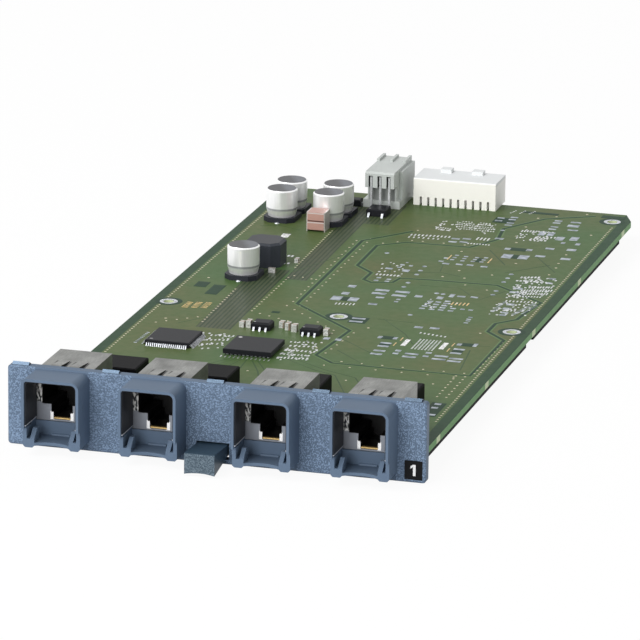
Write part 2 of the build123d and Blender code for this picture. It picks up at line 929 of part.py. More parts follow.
# Power connector: overhanging shroud with three slots for the bent pins
power_top = board_height + power_high
power_left = power_x - power_width / 2
power_right = power_x + power_width / 2
power_brow = 5.3
power_face = power_front + 3.6
power_slot_width = 1.4
power_slot_depth = 2.4
power_window_width = 2.2
power_window_depth = 0.8
power_pocket_length = 9.0
power_pocket_low = 7.5
power_pocket_high = 3.0
power_foot_height = 2.6
power_roof = 1.3
power_key = 1.1
power_key_front = power_front + 7.0
power_rib = 0.9
power_foot = 1.6
with BuildPart() as power_connector:
    with BuildSketch(side_plane(power_left)):
        with BuildLine():
            Polyline(
                (back(power_face), board_height),
                (back(power_face), power_top - power_brow),
                (back(power_front), power_top - power_brow),
                (back(power_front), power_top),
                (back(power_rear), power_top),
                (back(power_rear), board_height),
                close=True,
            )
        make_face()
    extrude(amount=power_width)
    chamfer(power_connector.faces().sort_by(Axis.Y)[0].edges().sort_by(Axis.Z)[-1], 0.6)
    block(
        power_right, power_right + power_key, power_key_front, power_rear,
        board_height, power_top - 1.0, Mode.ADD,
    )
    block(
        power_left - power_foot, power_right + power_key, power_face, power_rear - 4.0,
        board_height, board_height + power_foot_height, Mode.ADD,
    )
    for index in range(3):
        x = power_left + power_rib / 2 + index * (power_width - power_rib) / 2
        block(
            x - power_rib / 2, x + power_rib / 2, power_rear - 8.0, power_rear,
            power_top, power_top + 0.8, Mode.ADD,
        )
    for index in (-1, 0, 1):
        x = power_x + index * power_pitch
        block(
            x - power_slot_width / 2, x + power_slot_width / 2, power_front, power_front + power_slot_depth,
            power_top - power_brow, power_top - power_roof, Mode.SUBTRACT,
        )
        block(
            x - power_window_width / 2, x + power_window_width / 2, power_face, power_face + power_window_depth,
            board_height + power_foot_height, power_top - power_brow, Mode.SUBTRACT,
        )
        block(
            x - power_window_width / 2, x + power_window_width / 2, power_rear - power_pocket_length, power_rear,
            power_top - power_pocket_low, power_top - power_pocket_high, Mode.SUBTRACT,
        )
power_connector.part.label = "power_connector"
export_step(power_connector.part, "parts/power_connector.step")

pin_top = power_top - power_roof - 0.5
pin_foot = board_bottom - 1.0
pin_front = power_front + power_pin_inset
with BuildPart() as power_pins:
    for index in (-1, 0, 1):
        x = power_x + index * power_pitch
        with BuildSketch(side_plane(x)):
            with BuildLine():
                Polyline(
                    (back(pin_front), pin_foot),
                    (back(pin_front), pin_top),
                    (back(power_front + power_slot_depth), pin_top),
                    (back(power_front + power_slot_depth), pin_top - power_pin_width),
                    (back(pin_front + power_pin_width), pin_top - power_pin_width),
                    (back(pin_front + power_pin_width), pin_foot),
                    close=True,
                )
            make_face()
        extrude(amount=power_pin_width / 2, both=True)
power_pins.part.label = "power_pins"
export_step(power_pins.part, "parts/power_pins.step")

# Bridge rectifier, diode and driver chips
rectifier_x = -20.5
rectifier_width = 6.6
rectifier_length = 6.4
rectifier_clearance = 1.2
rectifier_depth = power_front - rectifier_clearance - rectifier_length / 2
rectifier_height = 2.4
rectifier_edge = 0.4
diode_x = -31.0
diode_width = 4.4
diode_length = 3.6
diode_height = 2.2
diode_edge = 0.3
diode_tab = 0.5
diode_tab_width = 1.6
diode_tab_height = 1.2
diode_depth = power_front + 4.6
chip_standoff = 0.1
driver_places = ((-18.6, 110.6), (-2.8, 109.6))
driver_width = 6.0
driver_length = 5.0
driver_top = 10.4
driver_edge = 0.6
with BuildPart() as bridge_rectifier:
    block(
        rectifier_x - rectifier_width / 2, rectifier_x + rectifier_width / 2,
        rectifier_depth - rectifier_length / 2, rectifier_depth + rectifier_length / 2,
        board_height + chip_standoff, board_height + chip_standoff + rectifier_height, Mode.ADD,
    )
    chamfer(bridge_rectifier.faces().sort_by(Axis.Z)[-1].edges(), rectifier_edge)
bridge_rectifier.part.label = "bridge_rectifier"
export_step(bridge_rectifier.part, "parts/bridge_rectifier.step")

with BuildPart() as diode:
    block(
        diode_x - diode_width / 2, diode_x + diode_width / 2,
        diode_depth - diode_length / 2, diode_depth + diode_length / 2,
        board_height + chip_standoff, board_height + chip_standoff + diode_height, Mode.ADD,
    )
    chamfer(diode.faces().sort_by(Axis.Z)[-1].edges(), diode_edge)
diode.part.label = "diode"
export_step(diode.part, "parts/diode.step")

for number, (x, depth) in enumerate(driver_places, start=1):
    with BuildPart() as driver_chip:
        block(
            x - driver_width / 2, x + driver_width / 2, depth - driver_length / 2,
            depth + driver_length / 2, board_height + chip_standoff, driver_top, Mode.ADD,
        )
        chamfer(driver_chip.faces().sort_by(Axis.Z)[-1].edges(), driver_edge)
    driver_chip.part.label = f"driver_chip_{number}"
    export_step(driver_chip.part, f"parts/driver_chip_{number}.step")

rectifier_lead = gull_lead(board_height + 1.3, 1.4, 0.7, 0.25)
driver_lead = gull_lead(board_height + 1.1, 1.3, 0.6, 0.2)
with BuildPart() as small_leads:
    with Locations(lead_places(
        rectifier_x, rectifier_depth, rectifier_length, rectifier_width, 2, 4.6, (0, 180),
    )):
        add(rectifier_lead)
    for x, depth in driver_places:
        with Locations(lead_places(x, depth, driver_length, driver_width, 3, 1.9, (0, 180))):
            add(driver_lead)
    for side in (-1, 1):
        inner = diode_x + side * diode_width / 2
        outer = inner + side * diode_tab
        block(
            min(inner, outer), max(inner, outer), diode_depth - diode_tab_width / 2,
            diode_depth + diode_tab_width / 2, board_height, board_height + diode_tab_height, Mode.ADD,
        )
small_leads.part.label = "small_leads"
export_step(small_leads.part, "parts/small_leads.step")

# Backplane connector: columns of sockets that face the rear
backplane_width = column_count * column_pitch
backplane_left = backplane_x - backplane_width / 2
backplane_top = board_height + backplane_high
backplane_tab_xs = (-4.3, 6.4)
backplane_tab_width = 3.7
backplane_tab_length = 3.4
backplane_tab_height = 1.2
backplane_tab_inset = 0.6
backplane_slot_depth = 3.0
blade_setback = 0.6
with BuildPart() as backplane_connector:
    block(
        backplane_left, backplane_left + backplane_width, backplane_front, backplane_rear,
        board_height, backplane_top, Mode.ADD,
    )
    chamfer(backplane_connector.edges().filter_by(Axis.X).group_by(Axis.Z)[-1].sort_by(Axis.Y)[0], 0.4)
    tab_end = backplane_rear - backplane_tab_inset
    for x in backplane_tab_xs:
        block(
            x - backplane_tab_width / 2, x + backplane_tab_width / 2, tab_end - backplane_tab_length,
            tab_end, backplane_top, backplane_top + backplane_tab_height, Mode.ADD,
        )
    for index in range(1, column_count):
        x = backplane_left + index * column_pitch
        block(
            x - backplane_slot / 2, x + backplane_slot / 2,
            backplane_front, backplane_front + backplane_slot_depth,
            board_height, board_height + backplane_slot_high, Mode.SUBTRACT,
        )
    with BuildSketch(front_plane(backplane_rear)):
        for row in range(socket_rows):
            with Locations((backplane_x, board_height + socket_low + row * column_pitch)):
                with GridLocations(column_pitch, column_pitch, column_count, 1):
                    Rectangle(socket_size, socket_size)
    extrude(amount=socket_depth, mode=Mode.SUBTRACT)
backplane_connector.part.label = "backplane_connector"
export_step(backplane_connector.part, "parts/backplane_connector.step")

# Spring blades under the roofs of the sockets
with BuildPart() as backplane_contacts:
    with BuildSketch(front_plane(backplane_rear - blade_setback)):
        for row in range(socket_rows):
            socket_roof = board_height + socket_low + row * column_pitch + socket_size / 2
            with Locations((backplane_x, socket_roof - blade_thickness / 2)):
                with GridLocations(column_pitch, column_pitch, column_count, 1):
                    Rectangle(blade_width, blade_thickness)
    extrude(amount=socket_depth - blade_setback)
backplane_contacts.part.label = "backplane_contacts"
export_step(backplane_contacts.part, "parts/backplane_contacts.step")

# Chip capacitors beside the driver chips and the large parts
chip_places = (
    (-25.0, 110.6, 1.5, 2.4, 1.7),
    (-22.9, 110.9, 1.5, 2.6, 2.2),
    (-13.2, 113.6, 1.5, 2.4, 1.9),
    (-10.8, 111.9, 1.5, 2.6, 2.1),
    (-8.4, 110.6, 1.7, 2.4, 2.2),
    (1.9, 109.9, 1.5, 2.4, 1.9),
    (-33.8, 172.0, 2.2, 1.2, 1.5),
    (-29.6, 186.0, 1.2, 2.2, 1.3),
)
with BuildPart() as chip_capacitors:
    for x, depth, width, length, height in chip_places:
        block(
            x - width / 2, x + width / 2, depth - length / 2, depth + length / 2,
            board_height, board_height + height, Mode.ADD,
        )
chip_capacitors.part.label = "chip_capacitors"
export_step(chip_capacitors.part, "parts/chip_capacitors.step")
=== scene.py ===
"""Looks of a plug-in media module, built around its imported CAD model."""

import math
import random

import bpy
from mathutils import Matrix, Vector


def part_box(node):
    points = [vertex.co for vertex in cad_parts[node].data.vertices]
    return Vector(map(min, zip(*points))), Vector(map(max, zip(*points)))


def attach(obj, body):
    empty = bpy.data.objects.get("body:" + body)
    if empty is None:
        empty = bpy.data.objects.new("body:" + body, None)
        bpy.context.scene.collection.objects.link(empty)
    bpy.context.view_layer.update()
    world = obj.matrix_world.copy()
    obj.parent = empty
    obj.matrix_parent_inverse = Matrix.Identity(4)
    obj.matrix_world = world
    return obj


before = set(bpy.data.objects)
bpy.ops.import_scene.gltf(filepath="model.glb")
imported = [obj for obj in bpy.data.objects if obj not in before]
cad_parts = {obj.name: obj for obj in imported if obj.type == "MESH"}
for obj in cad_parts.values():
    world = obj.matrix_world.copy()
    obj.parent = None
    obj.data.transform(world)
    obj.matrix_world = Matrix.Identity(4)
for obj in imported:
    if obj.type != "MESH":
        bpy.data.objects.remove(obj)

bl_info = {
    "name": "Media module looks",
    "version": (1, 0, 0),
    "blender": (4, 5, 0),
    "location": "View3D > Sidebar > Module",
    "description": "Finishes and board details of a plug-in media module",
    "category": "Object",
}

MM = 0.001
BOARD_SETBACK = 3.2 * MM
FACE_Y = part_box("underside_insulator")[0].y - BOARD_SETBACK
BOARD_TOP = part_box("main_board")[1].z
BOARD_LEVEL = BOARD_TOP / MM
PORT_XS = [sum(corner.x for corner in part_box(f"jack_shield_{n}")) / 2 / MM for n in range(1, 5)]
HOLE_PLACES = [(-54.8, 130.3), (0.0, 130.3), (54.8, 130.3), (-54.8, 265.5), (54.8, 265.5)]
CAMERA_PLACE = (0.440997, -1.582352, 0.481854)
CAMERA_AZIMUTH = math.radians(15.8026)
CAMERA_ELEVATION = math.radians(16.1563)
CAMERA_ROLL = math.radians(0.6525)
CAMERA_LENS = 312.26
WHITE = (1.0, 1.0, 1.0)
FLOOR_WIDTH = 12.0
FLOOR_LEVEL = -0.2 * MM
FLOOR_GLOW = 0.93
WORLD_LIGHT = 0.54
RAYS = ("Is Camera Ray", "Is Glossy Ray", "Is Transmission Ray")
# Lamps: name, place and aim in metres, width, power
LAMPS = (
    ("key_softbox", (-0.9, -0.8, 1.5), (0, 0, 0), 1.2, 18.0),
    ("front_softbox", (-0.3, -1.9, 0.6), (0, -0.1, 0), 1.0, 19.0),
)


def ink(red, green, blue):
    """Linear colour of a displayed one, each part from 0 to 255."""
    parts = [part / 255 for part in (red, green, blue)]
    return tuple(p / 12.92 if p < 0.04045 else ((p + 0.055) / 1.055) ** 2.4 for p in parts)


def toned(base, factor):
    """Colour made darker or paler by a factor."""
    return tuple(part * factor for part in base)


def at(x, depth, height=0.0):
    """Point in metres from an x, a depth behind the panel's face and a height, in millimetres."""
    return Vector((x * MM, FACE_Y + depth * MM, height * MM))


def span(node):
    """Low and high corner of a CAD node: x, depth and height in millimetres."""
    return [(corner - Vector((0.0, FACE_Y, 0.0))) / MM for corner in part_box(node)]


# Sizes and colours


def colour(label, what, red, green, blue):
    """Colour property with its default as displayed."""
    return bpy.props.FloatVectorProperty(
        name=label, description=what, subtype="COLOR", size=3, min=0, max=1, default=ink(red, green, blue)
    )


def size(label, what, millimetres):
    """Length property with its default in millimetres."""
    return bpy.props.FloatProperty(name=label, description=what, unit="LENGTH", default=millimetres * MM)


class ModuleSizes(bpy.types.PropertyGroup):
    """Sizes of the details that stand on the board and the panel"""

    land_height: size("Land height", "How far a tinned land stands above the board", 0.05)
    via_width: size("Via width", "Diameter of a tented via", 0.75)
    ring_radius: size("Ring radius", "Middle radius of the ring round a mounting hole", 2.3)
    channel_width: size("Channel width", "Width of the gaps between the copper areas", 1.5)
    trace_pitch: size("Trace pitch", "Distance between the traces of the wide bundle", 1.35)
    grain: size("Panel grain", "Size of the grain on the panel's face", 0.3)


class ModuleColours(bpy.types.PropertyGroup):
    """Colours of the mouldings, the board and the parts on it"""

    panel: colour("Panel", "Moulded front panel", 96, 113, 134)
    lever: colour("Lever", "Moulded release lever", 42, 61, 75)
    label: colour("Label", "Number label", 18, 18, 20)
    print: colour("Print", "Numeral on the label", 240, 240, 240)
    board: colour("Board", "Solder mask over copper", 73, 101, 58)
    board_warm: colour("Warm board", "Solder mask where it looks warmer", 91, 97, 56)
    gap: colour("Gap", "Solder mask over bare laminate", 22, 58, 36)
    edge: colour("Board edge", "Cut edge of the laminate", 96, 142, 86)
    laminate: colour("Laminate", "Bare laminate in holes and notches", 206, 216, 178)
    insulator: colour("Insulator", "Sheet under the board", 14, 14, 15)
    tin: colour("Tin", "Tinned lands and leads", 214, 218, 224)
    gold: colour("Gold", "Plated contacts", 236, 200, 130)
    via: colour("Via", "Tented vias", 214, 204, 178)
    sheet: colour("Jack sheet", "Tin plate of the jacks", 132, 133, 130)
    liner: colour("Collar sheet", "Sheet inside the collars", 40, 43, 49)
    insert: colour("Insert", "Black jack mouldings", 16, 16, 17)
    spring: colour("Spring", "Contact fingers above the panel", 108, 126, 146)
    epoxy: colour("Epoxy", "Black chip packages", 36, 37, 41)
    transformer: colour("Transformer", "Black transformer cases", 17, 17, 19)
    can: colour("Can", "Drawn capacitor cans", 248, 249, 251)
    # Colour of the darker part of each can's top, whose soft edge wanders with noise.
    can_top_dark_part: colour("Can print", "Printed half of a can's top", 34, 36, 42)
    base: colour("Capacitor base", "Moulded capacitor bases", 40, 42, 50)
    ferrite: colour("Ferrite", "Inductor body", 74, 78, 86)
    ceramic: colour("Ceramic", "Stacked capacitor", 196, 152, 140)
    chip: colour("Chip part", "Small chip capacitors", 140, 120, 100)
    grey: colour("Grey connector", "Power connector moulding", 200, 205, 202)
    cream: colour("Cream connector", "Backplane connector moulding", 255, 254, 251)
    floor: colour("Floor", "Studio floor", 245, 245, 245)


# Shader maths


def maths(operation, reflected=False):
    """Method of a wire that adds a Math node, with its two terms swapped when it is reflected."""

    def method(self, other):
        terms = (other, self) if reflected else (self, other)
        return self.finish.node("ShaderNodeMath", {"operation": operation}, terms)

    return method


class Wire:
    """One socket of a finish, so that shader maths reads as plain arithmetic."""

    def __init__(self, finish, socket):
        self.finish = finish
        self.socket = socket

    __add__ = maths("ADD")
    __radd__ = maths("ADD", reflected=True)
    __sub__ = maths("SUBTRACT")
    __rsub__ = maths("SUBTRACT", reflected=True)
    __mul__ = maths("MULTIPLY")
    __rmul__ = maths("MULTIPLY", reflected=True)
    __truediv__ = maths("DIVIDE")
    higher = maths("MAXIMUM")

    def alone(self, operation):
        """Math node with this wire as its only term."""
        return self.finish.node("ShaderNodeMath", {"operation": operation}, (self,))

    def __abs__(self):
        return self.alone("ABSOLUTE")

    def fraction(self):
        return self.alone("FRACT")

    def root(self):
        return self.alone("SQRT")

    def clamped(self):
        return self.finish.node("ShaderNodeMath", {"operation": "ADD", "use_clamp": True}, (self, 0.0))

    def above(self, edge, soft):
        """1 where the value is above an edge, 0 below it, with a soft step between."""
        return (self * (1 / soft) + (0.5 - edge / soft)).clamped()

    def below(self, edge, soft):
        """1 where the value is below an edge, 0 above it, with a soft step between."""
        return (self * (-1 / soft) + (0.5 + edge / soft)).clamped()

    def between(self, low, high, soft):
        """1 between two edges."""
        return self.above(low, soft) * self.below(high, soft)


def either(masks):
    """1 where any of the masks is 1."""
    joined, *others = masks
    for mask in others:
        joined = joined.higher(mask)
    return joined


class Finish:
    """A procedural material on object coordinates, in millimetres from under the panel's face."""

    def __init__(self, name, base, roughness, metallic=0.0, specular=0.5):
        self.material = bpy.data.materials.new(name)
        self.material.use_nodes = True
        self.tree = self.material.node_tree
        self.shader = self.tree.nodes["Principled BSDF"]
        self.set("Base Color", (*base, 1.0))
        self.set("Roughness", roughness)
        self.set("Metallic", metallic)
        self.set("Specular IOR Level", specular)
        coords = Wire(self, self.tree.nodes.new("ShaderNodeTexCoord").outputs["Object"])
        moved = self.vector("SUBTRACT", coords, (0.0, FACE_Y, 0.0))
        self.place = self.node("ShaderNodeVectorMath", {"operation": "SCALE"}, {0: moved, "Scale": 1 / MM})
        parts = self.tree.nodes.new("ShaderNodeSeparateXYZ")
        self.tree.links.new(self.place.socket, parts.inputs[0])
        self.x, self.depth, self.height = (Wire(self, out) for out in parts.outputs)

    def node(self, kind, settings, values, out=0):
        """Adds a node, its settings first, then the values or links of its sockets."""
        made = self.tree.nodes.new(kind)
        for key, value in settings.items():
            setattr(made, key, value)
        pairs = values.items() if isinstance(values, dict) else enumerate(values)
        for key, value in pairs:
            if isinstance(value, Wire):
                self.tree.links.new(value.socket, made.inputs[key])
            else:
                made.inputs[key].default_value = value
        return Wire(self, made.outputs[out])

    def vector(self, operation, *terms):
        """Adds a Vector Math node."""
        return self.node("ShaderNodeVectorMath", {"operation": operation}, terms)

    def set(self, name, value):
        """Sets or links a socket of the shader."""
        if isinstance(value, Wire):
            self.tree.links.new(value.socket, self.shader.inputs[name])
        else:
            self.shader.inputs[name].default_value = value

    def painted(self):
        """Colour that is linked to the shader so far."""
        return Wire(self, self.shader.inputs["Base Color"].links[0].from_socket)

    def paint(self, first, second, factor):
        """Links the shader's colour to one between two colours."""
        self.set("Base Color", self.mix(first, second, factor))

    def mix(self, first, second, factor):
        """Colour between two colours."""
        ends = [end if isinstance(end, Wire) else (*end, 1.0) for end in (first, second)]
        values = {0: factor, 6: ends[0], 7: ends[1]}
        return self.node("ShaderNodeMix", {"data_type": "RGBA"}, values, out=2)

    def noise(self, grain, detail=2.0, stretch=(1.0, 1.0, 1.0), roughness=0.5):
        """Noise from 0 to 1 with a grain in millimetres, which may be stretched along an axis."""
        where = self.vector("MULTIPLY", self.place, tuple(1 / (grain * s) for s in stretch))
        values = {"Vector": where, "Scale": 1.0, "Detail": detail, "Roughness": roughness}
        return self.node("ShaderNodeTexNoise", {}, values)

    def specks(self, grain):
        """Random value from 0 to 1 for each small cube of the material."""
        moved = self.vector("ADD", self.place, (grain / 2,) * 3)
        cells = self.vector("SNAP", moved, (grain,) * 3)
        return self.node("ShaderNodeTexWhiteNoise", {"noise_dimensions": "3D"}, {"Vector": cells})

    def bump(self, height, depth, strength=1.0):
        """Relief from a value of 0 to 1, with a depth in millimetres."""
        values = {"Strength": strength, "Distance": depth * MM, "Height": height}
        self.set("Normal", self.node("ShaderNodeBump", {}, values))

    def disc(self, x, depth, radius, soft=0.1):
        """1 inside an upright circle on the board."""
        across = self.x - x
        along = self.depth - depth
        return (across * across + along * along).root().below(radius, soft)

    def patch(self, x, depth, width, length, soft=0.15):
        """1 inside a rectangle on the board."""
        return abs(self.x - x).below(width / 2, soft) * abs(self.depth - depth).below(length / 2, soft)


# Modelling helpers


def deselect():
    """Leaves nothing selected, in object mode."""
    if bpy.context.object and bpy.context.object.mode != "OBJECT":
        bpy.ops.object.mode_set(mode="OBJECT")
    bpy.ops.object.select_all(action="DESELECT")


def choose(piece):
    """Leaves one piece selected and active."""
    deselect()
    piece.select_set(True)
    bpy.context.view_layer.objects.active = piece


def pick_faces(piece, test):
    """Selects in edit mode the faces whose centre and normal pass a test."""
    bpy.ops.object.mode_set(mode="EDIT")
    bpy.ops.mesh.select_mode(type="FACE")
    bpy.ops.mesh.select_all(action="DESELECT")
    bpy.ops.object.mode_set(mode="OBJECT")
    for face in piece.data.polygons:
        face.select = test(face.center, face.normal)
    bpy.ops.object.mode_set(mode="EDIT")


def settle(piece, name, finish):
    """Applies a new piece's place, gives it its finish and lets it ride on the module."""
    choose(piece)
    bpy.ops.object.transform_apply(location=True, rotation=True, scale=True)
    piece.name = name
    piece.data.name = name
    piece.data.materials.clear()
    piece.data.materials.append(finish.material)
    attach(piece, "module")


def scatter(template, places):
    """Copies of a template, each an (x, depth, width, length) on the board, joined into one."""
    made = []
    for x, depth, width, length in places:
        copy = template.copy()
        copy.data = template.data.copy()
        copy.location = Vector((x * MM, FACE_Y + depth * MM, template.location.z))
        copy.scale = (width, length, 1.0)
        bpy.context.collection.objects.link(copy)
        made.append(copy)
    deselect()
    for copy in made:
        copy.select_set(True)
    bpy.context.view_layer.objects.active = made[0]
    bpy.ops.object.join()
    bpy.data.objects.remove(template)
    return bpy.context.view_layer.objects.active


def land_template(height):
    """Land of 1 mm by 1 mm with a slightly raised, softened top."""
    deselect()
    bpy.ops.mesh.primitive_cube_add(size=1.0, location=(0, 0, BOARD_TOP + height / 2 - 0.01 * MM))
    land = bpy.context.object
    land.scale = (MM, MM, height)
    bpy.ops.object.transform_apply(location=False, rotation=False, scale=True)
    pick_faces(land, lambda centre, normal: normal.z > 0.5)
    bpy.ops.mesh.inset(thickness=0.12 * MM, depth=0.02 * MM)
    deselect()
    return land


def bead_template(height, segments):
    """Low round bead of 1 mm diameter that lies on the board."""
    deselect()
    bpy.ops.mesh.primitive_uv_sphere_add(
        segments=segments, ring_count=6, radius=MM / 2, location=(0, 0, BOARD_TOP)
    )
    bead = bpy.context.object
    bpy.ops.object.mode_set(mode="EDIT")
    bpy.ops.mesh.bisect(
        plane_co=(0, 0, BOARD_TOP - 0.01 * MM), plane_no=(0, 0, 1), clear_inner=True, use_fill=True
    )
    bpy.ops.object.mode_set(mode="OBJECT")
    bead.scale = (1, 1, height / (MM / 2))
    bpy.ops.object.transform_apply(location=False, rotation=False, scale=True)
    return bead


def flat_ring(x, depth, radius, tube, flatness):
    """Flattened ring that lies on the board."""
    deselect()
    bpy.ops.mesh.primitive_torus_add(
        location=at(x, depth, BOARD_LEVEL), major_segments=40, minor_segments=8,
        major_radius=radius, minor_radius=tube,
    )
    bpy.context.object.scale = (1, 1, flatness)
    return bpy.context.object


def smooth(piece):
    """Smooth shading up to an angle."""
    choose(piece)
    bpy.ops.object.shade_smooth_by_angle(angle=math.radians(35))


def dress(finish, *nodes):
    """Gives CAD nodes a finish."""
    for node in nodes:
        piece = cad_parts[node]
        if piece.material_slots:
            piece.material_slots[0].material = finish.material
        else:
            piece.data.materials.append(finish.material)


def tin_finish(name, base, roughness=0.3):
    """Tinned or solder-coated metal, with slight mottling."""
    finish = Finish(name, base, roughness, metallic=0.7)
    mottle = finish.noise(0.9)
    finish.paint(toned(base, 0.5), base, mottle.above(0.46, 0.25))
    finish.set("Roughness", mottle * 0.25 + (roughness - 0.1))
    return finish


def brushed_finish(name, base, stretch, roughness, metallic=1.0):
    """Sheet metal with brush lines along one axis."""
    finish = Finish(name, base, roughness, metallic=metallic)
    lines = finish.noise(0.12, detail=3.0, stretch=stretch)
    finish.paint(toned(base, 0.6), base, lines.above(0.45, 0.7))
    finish.set("Roughness", lines * 0.3 + (roughness - 0.15))
    finish.bump(lines, 0.01, 0.5)
    return finish


def moulded_finish(name, base, roughness, grain=0.35, relief=0.02, specular=0.25):
    """Moulded plastic with a fine matt grain."""
    finish = Finish(name, base, roughness, specular=specular)
    fine = finish.noise(grain, detail=3.0)
    wide = finish.noise(9.0, detail=1.0)
    shade = fine * 0.5 + wide * 0.5
    finish.paint(toned(base, 0.82), base, shade.above(0.45, 0.5))
    finish.set("Roughness", fine * 0.15 + (roughness - 0.07))
    finish.bump(fine, relief, 0.6)
    return finish


# Footprints on the board, all sizes in millimetres

# Pairs of pads: x, depth, width, length, distance of the two in depth
PAIRS = (
    (21.5, 105.1, 3.4, 1.5, 3.4), (21.7, 96.6, 3.6, 1.5, 3.6), (31.9, 96.4, 4.2, 1.5, 3.2),
    (41.0, 96.8, 4.2, 1.5, 3.4), (45.9, 95.8, 4.2, 1.4, 2.8), (44.3, 105.0, 3.4, 1.5, 4.3),
    (27.1, 98.7, 1.8, 1.6, 3.0), (36.5, 98.9, 1.8, 1.6, 3.6), (6.5, 128.2, 4.2, 1.4, 3.4),
    (4.9, 161.0, 4.5, 2.0, 3.9), (11.5, 160.8, 4.6, 2.0, 4.2), (12.4, 153.1, 1.3, 1.3, 2.8),
    (37.8, 259.7, 2.5, 1.3, 2.6), (38.3, 251.9, 2.5, 1.3, 2.8), (19.0, 257.0, 2.4, 1.4, 3.6),
    (23.0, 259.3, 2.4, 1.3, 2.9), (23.4, 252.2, 2.4, 1.2, 2.6), (11.3, 227.2, 2.7, 1.4, 3.9),
    (14.8, 228.0, 2.7, 1.4, 4.2), (0.0, 175.0, 1.4, 1.3, 3.3), (3.5, 174.5, 1.4, 1.2, 2.4),
    (52.6, 189.7, 1.9, 1.6, 5.2), (52.6, 48.7, 2.0, 1.6, 3.9), (38.8, 140.8, 1.4, 0.9, 2.1),
    (39.0, 136.7, 1.4, 0.9, 2.4), (44.8, 175.8, 3.0, 1.8, 4.5), (47.0, 157.3, 2.4, 2.0, 5.0),
    (47.6, 148.8, 2.2, 1.3, 2.6),
)
# Single pads: x, depth, width, length
SINGLES = (
    (18.1, 112.4, 1.3, 2.2), (22.8, 112.7, 1.3, 2.2), (43.0, 112.2, 1.4, 2.2), (47.8, 113.0, 1.2, 3.2),
    (26.4, 126.4, 2.6, 1.7), (31.4, 126.9, 3.0, 1.7), (3.0, 106.0, 1.9, 2.4), (6.8, 105.8, 1.9, 2.2),
    (53.5, 39.9, 2.2, 1.6), (6.2, 146.9, 2.8, 1.7), (-5.3, 164.4, 2.4, 2.6), (-5.1, 156.0, 2.3, 2.6),
    (-6.3, 149.9, 3.2, 4.4), (-0.9, 150.1, 3.0, 4.2), (6.4, 154.7, 2.6, 1.7), (17.5, 159.8, 2.4, 2.2),
    (24.3, 160.1, 2.0, 2.6), (27.2, 163.7, 1.5, 3.4), (30.2, 163.7, 2.6, 1.4), (34.3, 164.1, 2.4, 1.4),
    (0.2, 188.0, 2.4, 1.6), (6.0, 187.2, 2.2, 2.6), (3.0, 193.5, 1.2, 1.5), (2.9, 190.4, 1.2, 1.2),
    (6.0, 193.2, 1.2, 1.2), (3.9, 196.5, 0.8, 0.9), (13.7, 201.5, 1.6, 1.2), (14.3, 205.6, 1.4, 1.2),
    (15.9, 199.2, 2.2, 1.4), (20.2, 199.6, 2.2, 1.4), (23.7, 199.8, 2.2, 1.4), (28.4, 199.4, 2.2, 1.4),
    (43.7, 260.8, 3.4, 1.4), (43.9, 256.3, 3.8, 2.6), (44.9, 251.2, 3.4, 1.4), (36.4, 244.2, 2.2, 4.8),
    (39.3, 244.3, 2.2, 4.4), (43.4, 239.9, 2.6, 4.2), (47.9, 241.0, 2.6, 4.2), (45.6, 234.9, 1.3, 1.8),
    (50.5, 234.9, 1.5, 2.4), (43.2, 226.8, 2.8, 1.9), (50.2, 227.5, 3.0, 2.2), (42.4, 217.1, 3.2, 1.9),
    (50.9, 216.4, 3.2, 2.2), (30.3, 222.5, 1.9, 2.0), (37.3, 223.2, 1.9, 2.0), (32.3, 213.9, 3.2, 4.6),
    (37.6, 214.2, 3.2, 4.6), (24.7, 233.7, 2.8, 1.7),
)
# Lands that still carry their whole block of paste, likewise
PASTE_BLOCKS = (
    (-42.1, 215.6, 2.6, 4.6), (27.0, 109.1, 1.5, 7.0), (38.9, 109.1, 1.5, 7.0),
)
